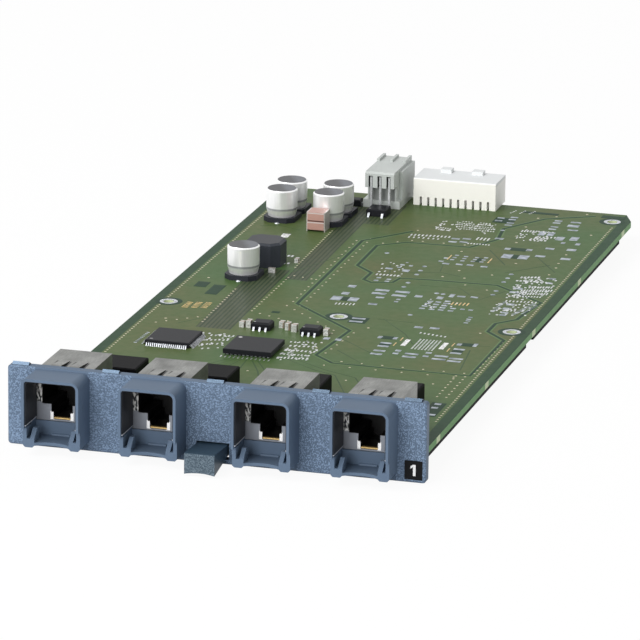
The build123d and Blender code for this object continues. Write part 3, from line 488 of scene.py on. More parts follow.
# Rows of pads: start, end, number, width, length
ROWS = (
    ((22.0, 147.0), (22.4, 155.4), 4, 1.8, 1.3), ((25.1, 147.0), (25.0, 155.3), 4, 1.8, 1.3),
    ((28.0, 147.0), (27.6, 157.1), 5, 1.8, 1.3), ((31.1, 147.1), (31.2, 149.9), 2, 1.7, 1.2),
    ((34.2, 149.8), (36.8, 149.8), 2, 1.4, 1.1), ((28.6, 120.7), (36.8, 118.8), 7, 0.5, 1.3),
    ((-4.8, 144.0), (0.7, 144.8), 6, 0.4, 2.0), ((-1.6, 180.2), (5.2, 180.6), 7, 0.55, 1.7),
    ((16.6, 204.4), (16.8, 209.8), 3, 1.3, 1.1), ((20.1, 204.0), (19.9, 209.4), 3, 1.3, 1.1),
    ((23.4, 204.4), (23.6, 209.2), 3, 1.3, 1.1), ((26.2, 204.6), (26.4, 209.8), 3, 1.3, 1.1),
    ((1.5, 241.4), (6.6, 240.4), 7, 0.5, 0.7), ((2.2, 239.2), (6.8, 238.2), 6, 0.5, 0.7),
    ((7.3, 246.4), (19.6, 245.8), 15, 0.5, 0.7), ((7.6, 248.6), (12.4, 248.4), 7, 0.5, 0.7),
    ((13.9, 248.8), (18.7, 248.5), 7, 0.5, 0.7), ((8.3, 250.7), (11.2, 250.6), 4, 0.5, 0.7),
    ((14.2, 250.7), (17.2, 250.6), 4, 0.5, 0.7), ((7.8, 244.1), (20.4, 243.8), 16, 0.5, 0.7),
    ((9.0, 241.8), (20.8, 241.4), 14, 0.5, 0.7), ((-3.6, 229.5), (8.8, 230.6), 11, 0.5, 2.0),
    ((-3.6, 226.6), (6.0, 227.0), 7, 0.5, 1.5), ((18.0, 231.6), (21.6, 231.6), 4, 0.5, 3.0),
    ((16.6, 225.0), (23.4, 225.2), 8, 0.5, 1.1), ((20.4, 266.0), (21.4, 269.2), 4, 0.5, 0.5),
    ((23.4, 266.4), (24.4, 269.8), 4, 0.5, 0.5), ((26.6, 266.8), (27.6, 270.2), 4, 0.5, 0.5),
    ((29.5, 245.2), (34.0, 245.8), 6, 0.45, 2.0), ((34.6, 236.4), (39.6, 238.4), 6, 0.45, 1.8),
    ((35.6, 239.0), (41.6, 240.4), 6, 0.5, 1.6), ((42.8, 190.8), (48.0, 192.6), 6, 0.6, 1.8),
    ((42.4, 186.8), (50.0, 187.6), 8, 0.7, 1.2), ((46.5, 176.0), (55.4, 178.6), 12, 0.42, 2.6),
    ((46.8, 172.6), (55.0, 174.6), 11, 0.42, 2.2), ((48.0, 180.6), (54.6, 182.4), 9, 0.42, 2.0),
    ((45.8, 169.6), (53.8, 170.6), 10, 0.42, 1.3), ((43.6, 150.4), (44.6, 161.6), 9, 1.1, 0.5),
    ((44.8, 163.2), (54.0, 164.2), 9, 0.45, 1.6), ((50.6, 149.4), (53.8, 162.6), 11, 1.3, 0.5),
    ((53.0, 151.0), (55.0, 160.6), 8, 0.9, 0.5), ((46.8, 152.6), (50.0, 153.2), 4, 0.5, 1.4),
    ((-36.6, 192.4), (-33.0, 192.4), 4, 0.7, 1.8), ((-35.4, 182.0), (-31.8, 183.8), 4, 0.7, 1.4),
    ((-32.6, 88.0), (-25.4, 90.8), 6, 0.5, 1.5), ((-32.2, 93.0), (-25.0, 95.0), 7, 0.5, 1.2),
    ((-31.2, 98.6), (-24.6, 99.6), 6, 0.5, 1.4), ((-50.8, 84.0), (-50.4, 95.4), 9, 1.0, 0.5),
    ((-46.6, 99.6), (-34.6, 99.8), 12, 0.42, 1.3), ((-5.4, 82.0), (2.2, 83.0), 8, 0.5, 1.5),
    ((-5.6, 86.0), (3.0, 86.6), 9, 0.5, 1.2), ((-5.4, 90.4), (3.4, 91.0), 8, 0.55, 1.6),
    ((-5.2, 95.0), (1.6, 96.2), 6, 0.6, 1.4), ((-6.2, 99.0), (0.2, 100.4), 6, 0.5, 1.2),
    ((-22.0, 78.2), (-7.0, 78.2), 12, 0.4, 1.6),
)
# Fields of small solder specks between the pads: low x, high x, low depth, high depth, number
SPECK_FIELDS = (
    (44.0, 55.0, 184.0, 192.5, 34),
    (43.0, 54.5, 166.0, 183.0, 60),
    (43.0, 54.5, 147.0, 162.0, 46),
    (-37.0, -24.5, 84.0, 101.0, 46),
    (-5.5, 4.0, 80.0, 101.5, 46),
    (29.5, 40.0, 234.0, 247.0, 40),
    (2.0, 21.0, 238.0, 250.5, 40),
    (-4.0, 7.0, 179.0, 196.0, 14),
    (21.0, 31.0, 147.0, 158.0, 14),
)
TEST_POINTS = (
    (10.3, 193.8), (10.4, 188.7), (10.4, 183.9), (10.3, 173.9), (10.3, 168.8), (38.8, 193.4),
    (38.8, 188.7), (38.7, 184.0), (39.0, 173.3), (39.1, 168.7), (-5.3, 205.6), (20.4, 138.9),
    (23.2, 244.0), (22.0, 164.9), (24.1, 164.6),
)
# Gold bars, laid out like the rows
GOLD_BARS = (
    ((29.6, 155.2), (34.4, 155.6), 5, 0.45, 3.0), ((15.1, 206.8), (15.1, 206.8), 1, 0.4, 5.5),
    ((28.4, 206.8), (28.4, 206.8), 1, 0.4, 5.5), ((24.3, 106.6), (24.9, 112.4), 2, 0.35, 3.4),
    ((41.3, 105.6), (41.3, 111.4), 2, 0.35, 3.4), ((-48.2, 125.6), (-48.2, 131.2), 5, 2.0, 0.5),
    ((-45.3, 126.2), (-45.3, 131.8), 5, 2.0, 0.5), ((-42.4, 126.8), (-42.4, 132.4), 5, 2.0, 0.5),
)
# Rows of vias: start, end, pitch
VIA_ROWS = (
    ((-56.4, 60.0), (-56.4, 126.0), 2.0), ((-56.4, 135.0), (-56.4, 258.0), 2.0),
    ((56.4, 34.0), (56.4, 126.0), 2.0), ((56.4, 135.0), (56.4, 258.0), 2.0),
    ((53.2, 58.0), (53.2, 80.0), 3.2), ((50.4, 58.0), (50.4, 80.0), 3.2),
    ((55.0, 84.0), (55.0, 118.0), 3.4), ((-38.2, 112.0), (-39.2, 150.0), 2.6),
    ((-27.2, 128.0), (-27.2, 168.0), 2.6), ((-28.4, 180.0), (-29.4, 226.0), 2.2),
    ((-51.6, 106.9), (-41.1, 116.5), 3.4), ((-18.0, 142.0), (-18.6, 217.0), 4.4),
    ((-14.2, 144.0), (-14.8, 216.0), 4.6), ((-14.6, 138.0), (6.0, 118.2), 4.4),
    ((-18.6, 137.0), (2.6, 115.2), 4.8), ((-24.0, 126.0), (-10.0, 119.0), 4.4),
    ((9.2, 114.4), (7.0, 91.0), 5.0), ((3.0, 112.0), (2.8, 90.0), 5.0),
    ((14.0, 83.8), (52.0, 83.4), 6.4), ((10.0, 78.6), (50.0, 78.6), 8.2),
    ((-14.8, 220.6), (-3.0, 235.4), 4.4), ((-9.6, 216.6), (-1.6, 222.8), 5.0),
    ((2.0, 222.8), (16.0, 222.8), 6.0), ((-26.0, 170.6), (-19.8, 168.6), 3.4),
    ((28.0, 177.0), (52.0, 166.0), 9.0), ((12.0, 64.0), (46.0, 70.0), 8.6),
    ((-46.0, 62.0), (-10.0, 66.0), 7.6),
)
LONE_VIAS = (
    (17.0, 214.9), (29.2, 238.5), (31.1, 230.9), (37.1, 206.3), (50.0, 210.6), (50.5, 205.2),
    (50.3, 196.7), (33.2, 190.8), (22.0, 192.6), (18.8, 184.2), (25.8, 184.5), (30.6, 262.3),
    (35.9, 266.1), (40.3, 266.2), (52.0, 247.2), (49.9, 221.4), (30.0, 257.1), (29.4, 250.5),
    (44.8, 272.1), (-50.0, 112.0), (-51.0, 160.0), (-46.0, 200.0), (12.0, 121.0), (46.0, 126.0),
)
# Points x, depth along the gap between two copper areas, and along each trace
OUTER_CHANNEL = (
    (-4.2, 233.5), (-16.8, 217.6), (-16.2, 140.1), (7.4, 116.5), (4.8, 88.1), (11.7, 81.5),
    (54.3, 81.2), (54.7, 120.7), (47.7, 128.5), (47.8, 137.7), (53.0, 144.0), (53.7, 151.3),
    (55.6, 164.5), (37.7, 179.6), (16.0, 179.1), (6.5, 178.1), (5.6, 172.7), (-0.9, 170.6),
    (-4.0, 173.2), (-3.8, 181.5), (-10.3, 188.4), (-10.7, 213.4), (-2.5, 220.0), (18.3, 220.6),
    (24.5, 232.5), (23.0, 246.0), (33.0, 262.0), (48.0, 270.5),
)
TRACES = (
    ((13.9, 132.0), (24.4, 118.2), (29.4, 108.5)),
    ((6.4, 184.8), (17.6, 188.6), (24.0, 186.0)),
    ((12.1, 131.4), (23.4, 130.8)),
    ((16.5, 189.7), (15.4, 197.1), (13.1, 199.5)),
    ((36.1, 161.3), (41.8, 173.7)),
    ((41.9, 111.2), (52.4, 113.2)),
    ((47.6, 107.4), (50.0, 86.1)),
    ((36.5, 194.7), (47.9, 207.8)),
    ((14.6, 172.3), (27.4, 172.9), (32.4, 166.1)),
    ((8.9, 106.0), (21.8, 93.4)),
    ((25.3, 219.2), (34.3, 203.3)),
    ((-0.5, 191.9), (1.8, 183.4), (1.1, 177.0)),
    ((40.5, 217.9), (51.5, 199.7)),
    ((9.6, 95.0), (21.7, 82.4)),
    ((-18.6, 77.0), (-25.4, 66.0), (-30.0, 44.0)),
    ((-16.9, 77.0), (-22.6, 66.0), (-26.8, 44.0)),
    ((-15.2, 77.0), (-17.6, 66.0), (-17.8, 40.0)),
    ((-13.6, 77.0), (-12.8, 66.0), (-12.4, 40.0)),
    ((-11.9, 77.0), (-6.8, 66.0), (0.6, 44.0)),
    ((-10.2, 77.0), (-4.2, 66.0), (4.0, 46.0)),
    ((-4.1, 82.8), (9.0, 72.7), (16.0, 69.6), (24.0, 52.0)),
    ((-2.9, 84.2), (11.6, 74.1), (22.4, 69.0), (31.0, 52.0)),
    ((8.9, 83.7), (33.0, 80.6), (39.3, 81.5)),
    ((-45.0, 108.3), (-38.3, 117.8), (-38.2, 125.1)),
    ((-28.7, 164.1), (-23.2, 167.5), (-22.3, 181.6)),
    ((-28.2, 173.5), (-19.5, 195.0), (-15.9, 205.6)),
    ((-53.6, 225.4), (-47.4, 227.4), (-39.4, 223.5)),
)
# Dark windows in the copper: x, depth, width, length
DARK_PATCHES = (
    (-50.7, 152.0, 4.0, 6.0), (-44.9, 147.4, 4.0, 11.0), (20.4, 112.6, 3.6, 3.4), (45.4, 112.6, 3.6, 3.4),
    (21.5, 105.1, 3.4, 2.0), (44.3, 105.0, 3.4, 2.4), (-3.6, 150.0, 2.4, 4.4), (33.8, 222.8, 5.4, 3.6),
    (34.9, 214.0, 2.4, 4.6), (24.9, 206.4, 1.6, 5.0), (-19.8, 128.9, 2.6, 2.0), (20.8, 256.0, 7.0, 6.6),
    (30.0, 268.6, 12.0, 2.4), (54.0, 271.0, 8.0, 3.4), (52.8, 45.0, 4.4, 14.0), (6.9, 128.2, 5.6, 6.6),
)

# Areas and marks of the board and the parts, in millimetres

# Wide trace bundles: low x, high x, low depth, high depth, strength
BUNDLES = (
    (-36.4, -25.4, 106.0, 176.0, 1.0),
    (-24.4, -17.4, 166.0, 262.0, 1.0),
    (-17.6, -9.0, 238.0, 264.0, 0.8),
)
BUNDLE_SLANT = 0.02
SIDE_STRIP = 57.3
EDGE_NOTCHES = (21.0, 77.0, 135.0, 195.0, 256.0)
NOTCH_REACH = 2.0
FINE_WIDTH = 0.9
TRACE_WIDTH = 0.45
LONE_VIA_SCALE = 1.2
# Pads in the open middle of a chip's land: first x, first depth, columns, rows, both pitches
PAD_BLOCK = (30.4, 103.6, 7, 10, 1.05, 1.15)
RING_DOTS = 8
DOT_RADIUS = 0.36
DOT_FLATNESS = 0.4
# Flat rings: radius of the tube in millimetres, flatness
RING_TUBE = (0.6 * MM, 0.09)
WINDOW_TUBE = (1.3 * MM, 0.02)
WINDOW_RADIUS = 3.0
COLLAR_REACH = 8.0
FACE_BAND = (-0.12, 0.4)
LEVER_FRONT = -12.9
SHIELD_TOP = 22.7
TAB_OFFSET = 2.75
CAN_CAP = 4.85
CAN_FOOT_HIGHLIGHT = 11.6
CAN_NECK_SHADE = (11.9, 12.5)
FILLET_OFFSET = 5.6
STACK_HALF = 2.75
STACK_SEAMS = ((10.85, 11.15), (13.95, 14.25))
SLOT_SHADE_REACH = 0.75
# White dot on a package: distance from its side, distance from its front, radius, strength
PACKAGE_DOTS = {
    "controller_chip": (1.6, 1.6, 0.55, 0.35),
    "switch_chip": (1.6, 13.2, 0.6, 0.9),
    **{f"line_transformer_{number}": (1.8, 1.6, 0.7, 0.8) for number in range(1, 5)},
    **{f"driver_chip_{number}": (1.0, 1.0, 0.35, 0.5) for number in (1, 2)},
    "bridge_rectifier": (1.0, 1.0, 0.3, 0.5),
    "diode": (0.8, 0.8, 0.3, 0.5),
}


def steps(start, end, count):
    """Points spread evenly from start to end."""
    last = max(count - 1, 1)
    return [
        (start[0] + (end[0] - start[0]) * i / last, start[1] + (end[1] - start[1]) * i / last)
        for i in range(count)
    ]


def row_places(rows):
    """Places of the pads in rows, each with a start, an end, a number, a width and a length."""
    return [
        (x, depth, width, length)
        for start, end, count, width, length in rows
        for x, depth in steps(start, end, count)
    ]


# Operators


class ModuleOperator(bpy.types.Operator):
    """Shared parts of the operators"""

    bl_options = {"REGISTER"}

    @property
    def sizes(self):
        return bpy.context.scene.module_sizes

    @property
    def colours(self):
        return bpy.context.scene.module_colours

    def execute(self, context):
        self.make()
        return {"FINISHED"}


class MODULE_OT_panel(ModuleOperator):
    """Gives the panel its grain and puts the numeral on its label"""

    bl_idname = "module.panel"
    bl_label = "Front panel"

    def make(self):
        base = self.colours.panel
        finish = Finish("panel_moulding", base, 0.5, specular=0.06)
        grain = self.sizes.grain / MM
        speck = finish.noise(grain, detail=5.0, roughness=0.85)
        wide = finish.noise(14.0, detail=1.0)
        in_collar = either([abs(finish.x - x).below(COLLAR_REACH, 0.1) for x in PORT_XS])
        on_face = finish.depth.between(*FACE_BAND, 0.1) * (1 - in_collar)
        pale = tuple(min(1.0, part * 2.3 + 0.02) for part in base)
        grit = speck.above(0.535, 0.12) * 0.4 + finish.specks(grain).above(0.7, 0.5) * 0.6
        mottled = finish.mix(toned(base, 0.72), pale, grit)
        plain = finish.mix(toned(base, 0.82), toned(base, 0.96), wide)
        finish.paint(plain, mottled, on_face * 0.9)
        finish.set("Roughness", on_face * 0.16 + 0.4)
        finish.bump(speck * (on_face * 0.85 + 0.15), 0.05, 0.7)
        dress(finish, "front_panel")
        film = moulded_finish("label_film", self.colours.label, 0.4, relief=0.005, specular=0.1)
        dress(film, "number_label")
        self.numeral()

    def numeral(self):
        """Numeral 1 in the middle of the label: a stem whose top is drawn out into a flag."""
        low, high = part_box("number_label")
        middle = (low + high) / 2
        height = (high.z - low.z) * 0.6
        stem = height * 0.23
        flag = stem * 0.95
        deselect()
        bpy.ops.mesh.primitive_cube_add(size=1.0, location=(middle.x + stem * 0.35, low.y, middle.z))
        figure = bpy.context.object
        figure.scale = (stem, 0.04 * MM, height)
        bpy.ops.object.transform_apply(location=True, rotation=False, scale=True)
        top = middle.z + height / 2
        bpy.ops.object.mode_set(mode="EDIT")
        bpy.ops.mesh.bisect(plane_co=(0, 0, top - flag), plane_no=(0, 0, 1))
        pick_faces(figure, lambda centre, normal: normal.x < -0.5 and centre.z > top - stem)
        bpy.ops.mesh.extrude_region_move(TRANSFORM_OT_translate={"value": (-flag, 0.0, -stem * 0.7)})
        bpy.ops.mesh.select_all(action="SELECT")
        bpy.ops.mesh.normals_make_consistent(inside=False)
        deselect()
        white = moulded_finish("numeral_print", self.colours.print, 0.45, relief=0.004)
        settle(figure, "label_numeral", white)


class MODULE_OT_lever(ModuleOperator):
    """Gives the release lever its grained front and smooth top; the front's grain is real, and its paler
    tone is partly painted light
    """

    bl_idname = "module.lever"
    bl_label = "Release lever"

    def make(self):
        finish = Finish("lever_moulding", self.colours.lever, 0.42, specular=0.12)
        speck = finish.noise(0.24, detail=3.0)
        front = finish.depth.below(LEVER_FRONT, 0.1)
        grit = speck.above(0.5, 0.3) * 0.5 + finish.specks(0.3).above(0.6, 0.5) * 0.5
        # The front's grain is its own; its pale specks, paler than the smooth top, are partly painted light
        # on the front.
        grain_and_lit_front = finish.mix(ink(46, 60, 72), ink(112, 127, 138), grit)
        finish.paint(self.colours.lever, grain_and_lit_front, front * 0.9 + 0.08)
        finish.set("Roughness", front * 0.2 + 0.36)
        finish.bump(speck * (front * 0.8 + 0.2), 0.04, 0.5)
        dress(finish, "release_lever")


class MODULE_OT_board(ModuleOperator):
    """Paints the solder mask: copper areas, their gaps, the trace bundle and the side strips"""

    bl_idname = "module.board"
    bl_label = "Circuit board"

    def mask(self, finish, grooves, bundle, mottle):
        """Green of the board's top."""
        colours = self.colours
        warmth = finish.noise(38.0).above(0.52, 0.35)
        green = finish.mix(colours.board, colours.board_warm, warmth)
        green = finish.mix(green, toned(colours.board, 0.86), mottle.above(0.55, 0.5) * 0.5)
        green = finish.mix(green, ink(74, 80, 62), bundle * 0.85)
        green = finish.mix(green, ink(38, 56, 38), grooves * 0.85)
        return finish.mix(green, colours.gap, abs(finish.x).above(SIDE_STRIP, 0.3) * 0.9)

    def cut_edge(self, finish):
        """Colour of the board's sides, with bare laminate in its holes and notches."""
        colours = self.colours
        notches = either([
            finish.depth.between(depth - NOTCH_REACH, depth + NOTCH_REACH, 0.4) for depth in EDGE_NOTCHES
        ])
        side = finish.mix(colours.edge, colours.laminate, notches * 0.8)
        inside = abs(finish.x).below(60.0, 0.1) * finish.depth.above(4.0, 0.1)
        return finish.mix(side, colours.laminate, inside)

    def make(self):
        finish = Finish("board_laminate", self.colours.board, 0.42, specular=0.06)
        slope = finish.x + BUNDLE_SLANT * finish.depth
        bundle = either([
            slope.between(low_x, high_x, 0.2) * finish.depth.between(low, high, 0.6) * strength
            for low_x, high_x, low, high, strength in BUNDLES
        ])
        lines = (slope / (self.sizes.trace_pitch / MM)).fraction()
        grooves = abs(lines - 0.5).above(0.3, 0.2) * bundle
        mottle = finish.noise(2.6, detail=3.0)
        top = finish.height.above(BOARD_LEVEL - 0.05, 0.05)
        finish.paint(self.cut_edge(finish), self.mask(finish, grooves, bundle, mottle), top)
        finish.set("Roughness", mottle * 0.12 + 0.34)
        finish.bump(mottle * 0.1 - grooves * 0.5, 0.06, 0.8)
        dress(finish, "main_board")
        sheet = moulded_finish("insulator_sheet", self.colours.insulator, 0.6, grain=0.6, specular=0.05)
        dress(sheet, "underside_insulator")


class MODULE_OT_gaps(ModuleOperator):
    """Draws the gaps between the copper areas, with their raised rims"""

    bl_idname = "module.gaps"
    bl_label = "Copper gaps"

    def strip(self, points, width, height):
        """Low strip along a run of points, from an extruded vertex."""
        deselect()
        bpy.ops.mesh.primitive_plane_add(size=MM, location=at(*points[0], BOARD_LEVEL))
        bpy.ops.object.mode_set(mode="EDIT")
        bpy.ops.mesh.select_mode(type="VERT")
        bpy.ops.mesh.merge(type="CENTER")
        for here, there in zip(points, points[1:]):
            step = at(*there) - at(*here)
            bpy.ops.mesh.extrude_region_move(TRANSFORM_OT_translate={"value": step})
        bpy.ops.object.mode_set(mode="OBJECT")
        bpy.ops.object.convert(target="CURVE")
        strip = bpy.context.object
        strip.data.bevel_depth = width / 2
        strip.data.bevel_resolution = 1
        strip.data.use_fill_caps = True
        bpy.ops.object.convert(target="MESH")
        strip = bpy.context.object
        strip.scale = (1, 1, height / (width / 2))
        return strip

    def mask(self, name, low, high, grain, sharp=None):
        """Solder mask that wanders between two colours."""
        finish = Finish(name, high, 0.4, specular=0.06)
        tone = finish.noise(grain)
        finish.paint(low, high, tone.above(0.5, sharp) if sharp else tone)
        return finish

    def make(self):
        width = self.sizes.channel_width
        gap = self.colours.gap
        rims = self.mask("gap_rim_mask", ink(78, 108, 62), ink(100, 124, 80), 4.0)
        dark = self.mask("gap_mask", toned(gap, 0.7), gap, 6.0)
        thin = self.mask("trace_mask", ink(44, 68, 40), ink(72, 94, 58), 12.0, sharp=0.5)
        rim = self.strip(OUTER_CHANNEL, width + 0.8 * MM, 0.03 * MM)
        settle(rim, "copper_rims", rims)
        channel = self.strip(OUTER_CHANNEL, width, 0.06 * MM)
        settle(channel, "copper_gap", dark)
        traces = [self.strip(points, TRACE_WIDTH * MM, 0.03 * MM) for points in TRACES]
        for trace in traces:
            trace.select_set(True)
        bpy.ops.object.join()
        settle(bpy.context.object, "thin_traces", thin)
        patches = scatter(land_template(0.03 * MM), DARK_PATCHES)
        settle(patches, "copper_windows", dark)
        for number, place in enumerate(HOLE_PLACES, start=1):
            collar = flat_ring(*place, WINDOW_RADIUS * MM, *WINDOW_TUBE)
            settle(collar, f"hole_window_{number}", dark)


class MODULE_OT_lands(ModuleOperator):
    """Lays the tinned lands, the gold bars and the test points on the board"""

    bl_idname = "module.lands"
    bl_label = "Solder lands"

    def small_pads(self):
        """Rows, one block and scattered fields of pads too small for a mottled top."""
        small = [place for place in row_places(ROWS) if place[2] < FINE_WIDTH]
        first_x, first_depth, columns, rows, pitch_x, pitch_depth = PAD_BLOCK
        for column in range(columns):
            for row in range(rows):
                small.append((first_x + column * pitch_x, first_depth + row * pitch_depth, 0.5, 0.6))
        draw = random.Random(7)
        for low_x, high_x, low_depth, high_depth, count in SPECK_FIELDS:
            for _ in range(count):
                x, depth = draw.uniform(low_x, high_x), draw.uniform(low_depth, high_depth)
                small.append((x, depth, draw.uniform(0.4, 0.7), draw.uniform(0.5, 1.3)))
        return small

    def make(self):
        height = self.sizes.land_height
        places = [
            (x, depth + side * gap / 2, width, length)
            for x, depth, width, length, gap in PAIRS
            for side in (-1, 1)
        ]
        places += SINGLES
        places += [place for place in row_places(ROWS) if place[2] >= FINE_WIDTH]
        tin = Finish("land_tin", self.colours.tin, 0.3, metallic=0.2, specular=0.2)
        mottle = tin.noise(1.6, detail=1.0, stretch=(1.6, 0.6, 1.0))
        tin.paint(ink(98, 110, 124), ink(192, 200, 210), mottle.above(0.5, 0.35))
        tin.set("Roughness", mottle * 0.2 + 0.22)
        bright = tin_finish("small_land_tin", ink(236, 238, 242))
        paste = tin_finish("paste_tin", ink(252, 252, 252), 0.35)
        gold = tin_finish("land_gold", self.colours.gold, 0.28)
        for name, rise, spots, finish, slot in (
            ("small_lands", height * 1.1, self.small_pads(), bright, "solder_tin"),
            ("solder_lands", height, places, tin, "solder_tin"),
            ("paste_blocks", height, PASTE_BLOCKS, paste, "solder_tin"),
            ("gold_lands", height, row_places(GOLD_BARS), gold, "contact_gold"),
        ):
            settle(scatter(land_template(rise), spots), name, finish)
        beads = scatter(bead_template(0.12 * MM, 12), [(x, depth, 1.6, 1.6) for x, depth in TEST_POINTS])
        smooth(beads)
        settle(beads, "test_points", tin)


class MODULE_OT_vias(ModuleOperator):
    """Sets the rows of tented vias"""

    bl_idname = "module.vias"
    bl_label = "Vias"

    def make(self):
        width = self.sizes.via_width / MM
        wide = width * LONE_VIA_SCALE
        places = []
        for start, end, pitch in VIA_ROWS:
            run = math.hypot(end[0] - start[0], end[1] - start[1])
            places += [(x, depth, width, width) for x, depth in steps(start, end, round(run / pitch) + 1)]
        places += [(x, depth, wide, wide) for x, depth in LONE_VIAS]
        finish = moulded_finish("via_mask", self.colours.via, 0.5, relief=0.004)
        vias = scatter(bead_template(0.05 * MM, 6), places)
        settle(vias, "tented_vias", finish)


class MODULE_OT_rings(ModuleOperator):
    """Puts a tinned ring with its solder dots round each mounting hole"""

    bl_idname = "module.rings"
    bl_label = "Mounting rings"

    def make(self):
        tin = tin_finish("ring_tin", self.colours.tin)
        reach = self.sizes.ring_radius
        for number, place in enumerate(HOLE_PLACES, start=1):
            ring = flat_ring(*place, reach, *RING_TUBE)
            middle = at(*place, BOARD_LEVEL + 0.03)
            for turn in range(RING_DOTS):
                angle = math.tau * (turn + 0.5) / RING_DOTS
                bpy.ops.mesh.primitive_uv_sphere_add(
                    segments=8, ring_count=6, radius=DOT_RADIUS * MM,
                    location=middle + Vector((math.cos(angle) * reach, math.sin(angle) * reach, 0.0)),
                )
                bpy.context.object.scale = (1, 1, DOT_FLATNESS)
                bpy.context.object.select_set(True)
                ring.select_set(True)
                bpy.context.view_layer.objects.active = ring
                bpy.ops.object.join()
            smooth(ring)
            settle(ring, f"mounting_ring_{number}", tin)


class MODULE_OT_jacks(ModuleOperator):
    """Finishes the jacks, their contacts and the collars' liners"""

    bl_idname = "module.jacks"
    bl_label = "Network jacks"

    def plate(self, x):
        """Tin plate of the jack at an x: brushed sheet with dark slots round its tabs, and its front, with a
        painted reflection and painted highlights.
        """
        base = self.colours.sheet
        plate = Finish("jack_plate", base, 0.34, metallic=0.7, specular=0.2)
        across = abs(plate.x - x)
        lines = plate.noise(0.16, detail=3.0, stretch=(1.0, 14.0, 1.0))
        cloud = plate.noise(6.0, stretch=(1.0, 1.6, 1.0)).above(0.4, 0.5)
        shade = plate.mix(toned(base, 0.32), toned(base, 1.3), cloud)
        shade = plate.mix(shade, toned(base, 0.55), lines.above(0.55, 0.5) * 0.5)
        tab = abs(across - TAB_OFFSET)
        sides = tab.between(1.45, 2.3, 0.1) * plate.depth.between(3.0, 11.4, 0.2)
        end = tab.below(2.3, 0.1) * plate.depth.between(2.2, 3.2, 0.1)
        slot = sides.higher(end) * plate.height.above(SHIELD_TOP, 0.05)
        shade = plate.mix(shade, ink(20, 20, 20), slot * 0.9)
        # Painted reflection: above 13.4 mm the jack's front is black and white speckle that stands for
        # glints on the crumpled sheet.
        speckle = plate.noise(0.8, detail=3.0, stretch=(0.7, 1.0, 1.6)).above(0.5, 0.12)
        speckled_reflection = plate.mix(ink(30, 31, 34), ink(236, 236, 232), speckle)
        flange = plate.mix(ink(136, 140, 148), speckled_reflection, plate.height.above(13.4, 0.4) * 0.9)
        # Painted highlight: white on the step edges beside the contact tongue.
        ends = across.between(2.3, 3.5, 0.2) * plate.height.between(8.4, 10.9, 0.2)
        front = plate.depth.below(1.1, 0.1)
        plate.paint(shade, plate.mix(flange, WHITE, ends), front)
        plate.set("Metallic", 0.7 - front * 0.4 - slot * 0.6)
        plate.set("Roughness", lines * 0.25 + 0.24)
        plate.bump(lines, 0.01, 0.5)
        return plate

    def liner(self):
        """Dark brushed sheet with a painted highlight along its foot."""
        base = self.colours.liner
        liner = Finish("collar_sheet", base, 0.3, specular=0.03)
        brush = liner.noise(0.15, detail=3.0, stretch=(14.0, 14.0, 1.0))
        # The pale foot below 9.2 mm is a painted highlight along the sheet's lower edge; the brush lines are
        # the sheet's own.
        tone = (brush * 0.06 + liner.height.below(9.2, 0.1) * 0.8).clamped()
        liner.paint(toned(base, 0.7), ink(196, 200, 208), tone)
        liner.set("Roughness", brush * 0.2 + 0.22)
        return liner

    def make(self):
        base = self.colours.gold
        liner = self.liner()
        insert = moulded_finish("insert_moulding", self.colours.insert, 0.45)
        gold = Finish("contact_plating", base, 0.28, metallic=0.5)
        # Painted shade: the contacts are painted near black and not metallic where they run deep into the
        # jack.
        deep_slot_shade = gold.height.below(9.6, 0.1) * gold.depth.above(1.9, 0.3)
        gold.paint(gold.mix(toned(base, 0.7), base, gold.noise(0.6)), ink(22, 20, 18), deep_slot_shade)
        gold.set("Metallic", 0.5 - deep_slot_shade * 0.5)
        for number, x in enumerate(PORT_XS, start=1):
            dress(self.plate(x), f"jack_shield_{number}")
            dress(liner, f"collar_liner_{number}")
            dress(insert, f"jack_insert_{number}")
            dress(gold, f"jack_contacts_{number}")


class MODULE_OT_packages(ModuleOperator):
    """Finishes the chips, the transformers and their leads"""

    bl_idname = "module.packages"
    bl_label = "Chips and transformers"

    def make(self):
        for node, (inset_x, inset_depth, radius, strength) in PACKAGE_DOTS.items():
            low, _ = span(node)
            dark = "transformer" in node
            base = self.colours.transformer if dark else self.colours.epoxy
            finish = Finish(f"{node}_epoxy", base, 0.42, specular=0.02 if dark else 0.07)
            fine = finish.noise(0.25, detail=3.0)
            dot = finish.disc(low.x + inset_x, low.y + inset_depth, radius)
            body = finish.mix(toned(base, 0.75), base, fine.above(0.4, 0.5))
            finish.paint(body, ink(226, 226, 226), dot * strength)
            finish.set("Roughness", fine * 0.15 + 0.34)
            finish.bump(fine, 0.012, 0.5)
            dress(finish, node)
        leads = tin_finish("lead_tin", toned(self.colours.tin, 0.8))
        dress(leads, "transformer_leads", "controller_leads", "small_leads", "switch_chip_balls")


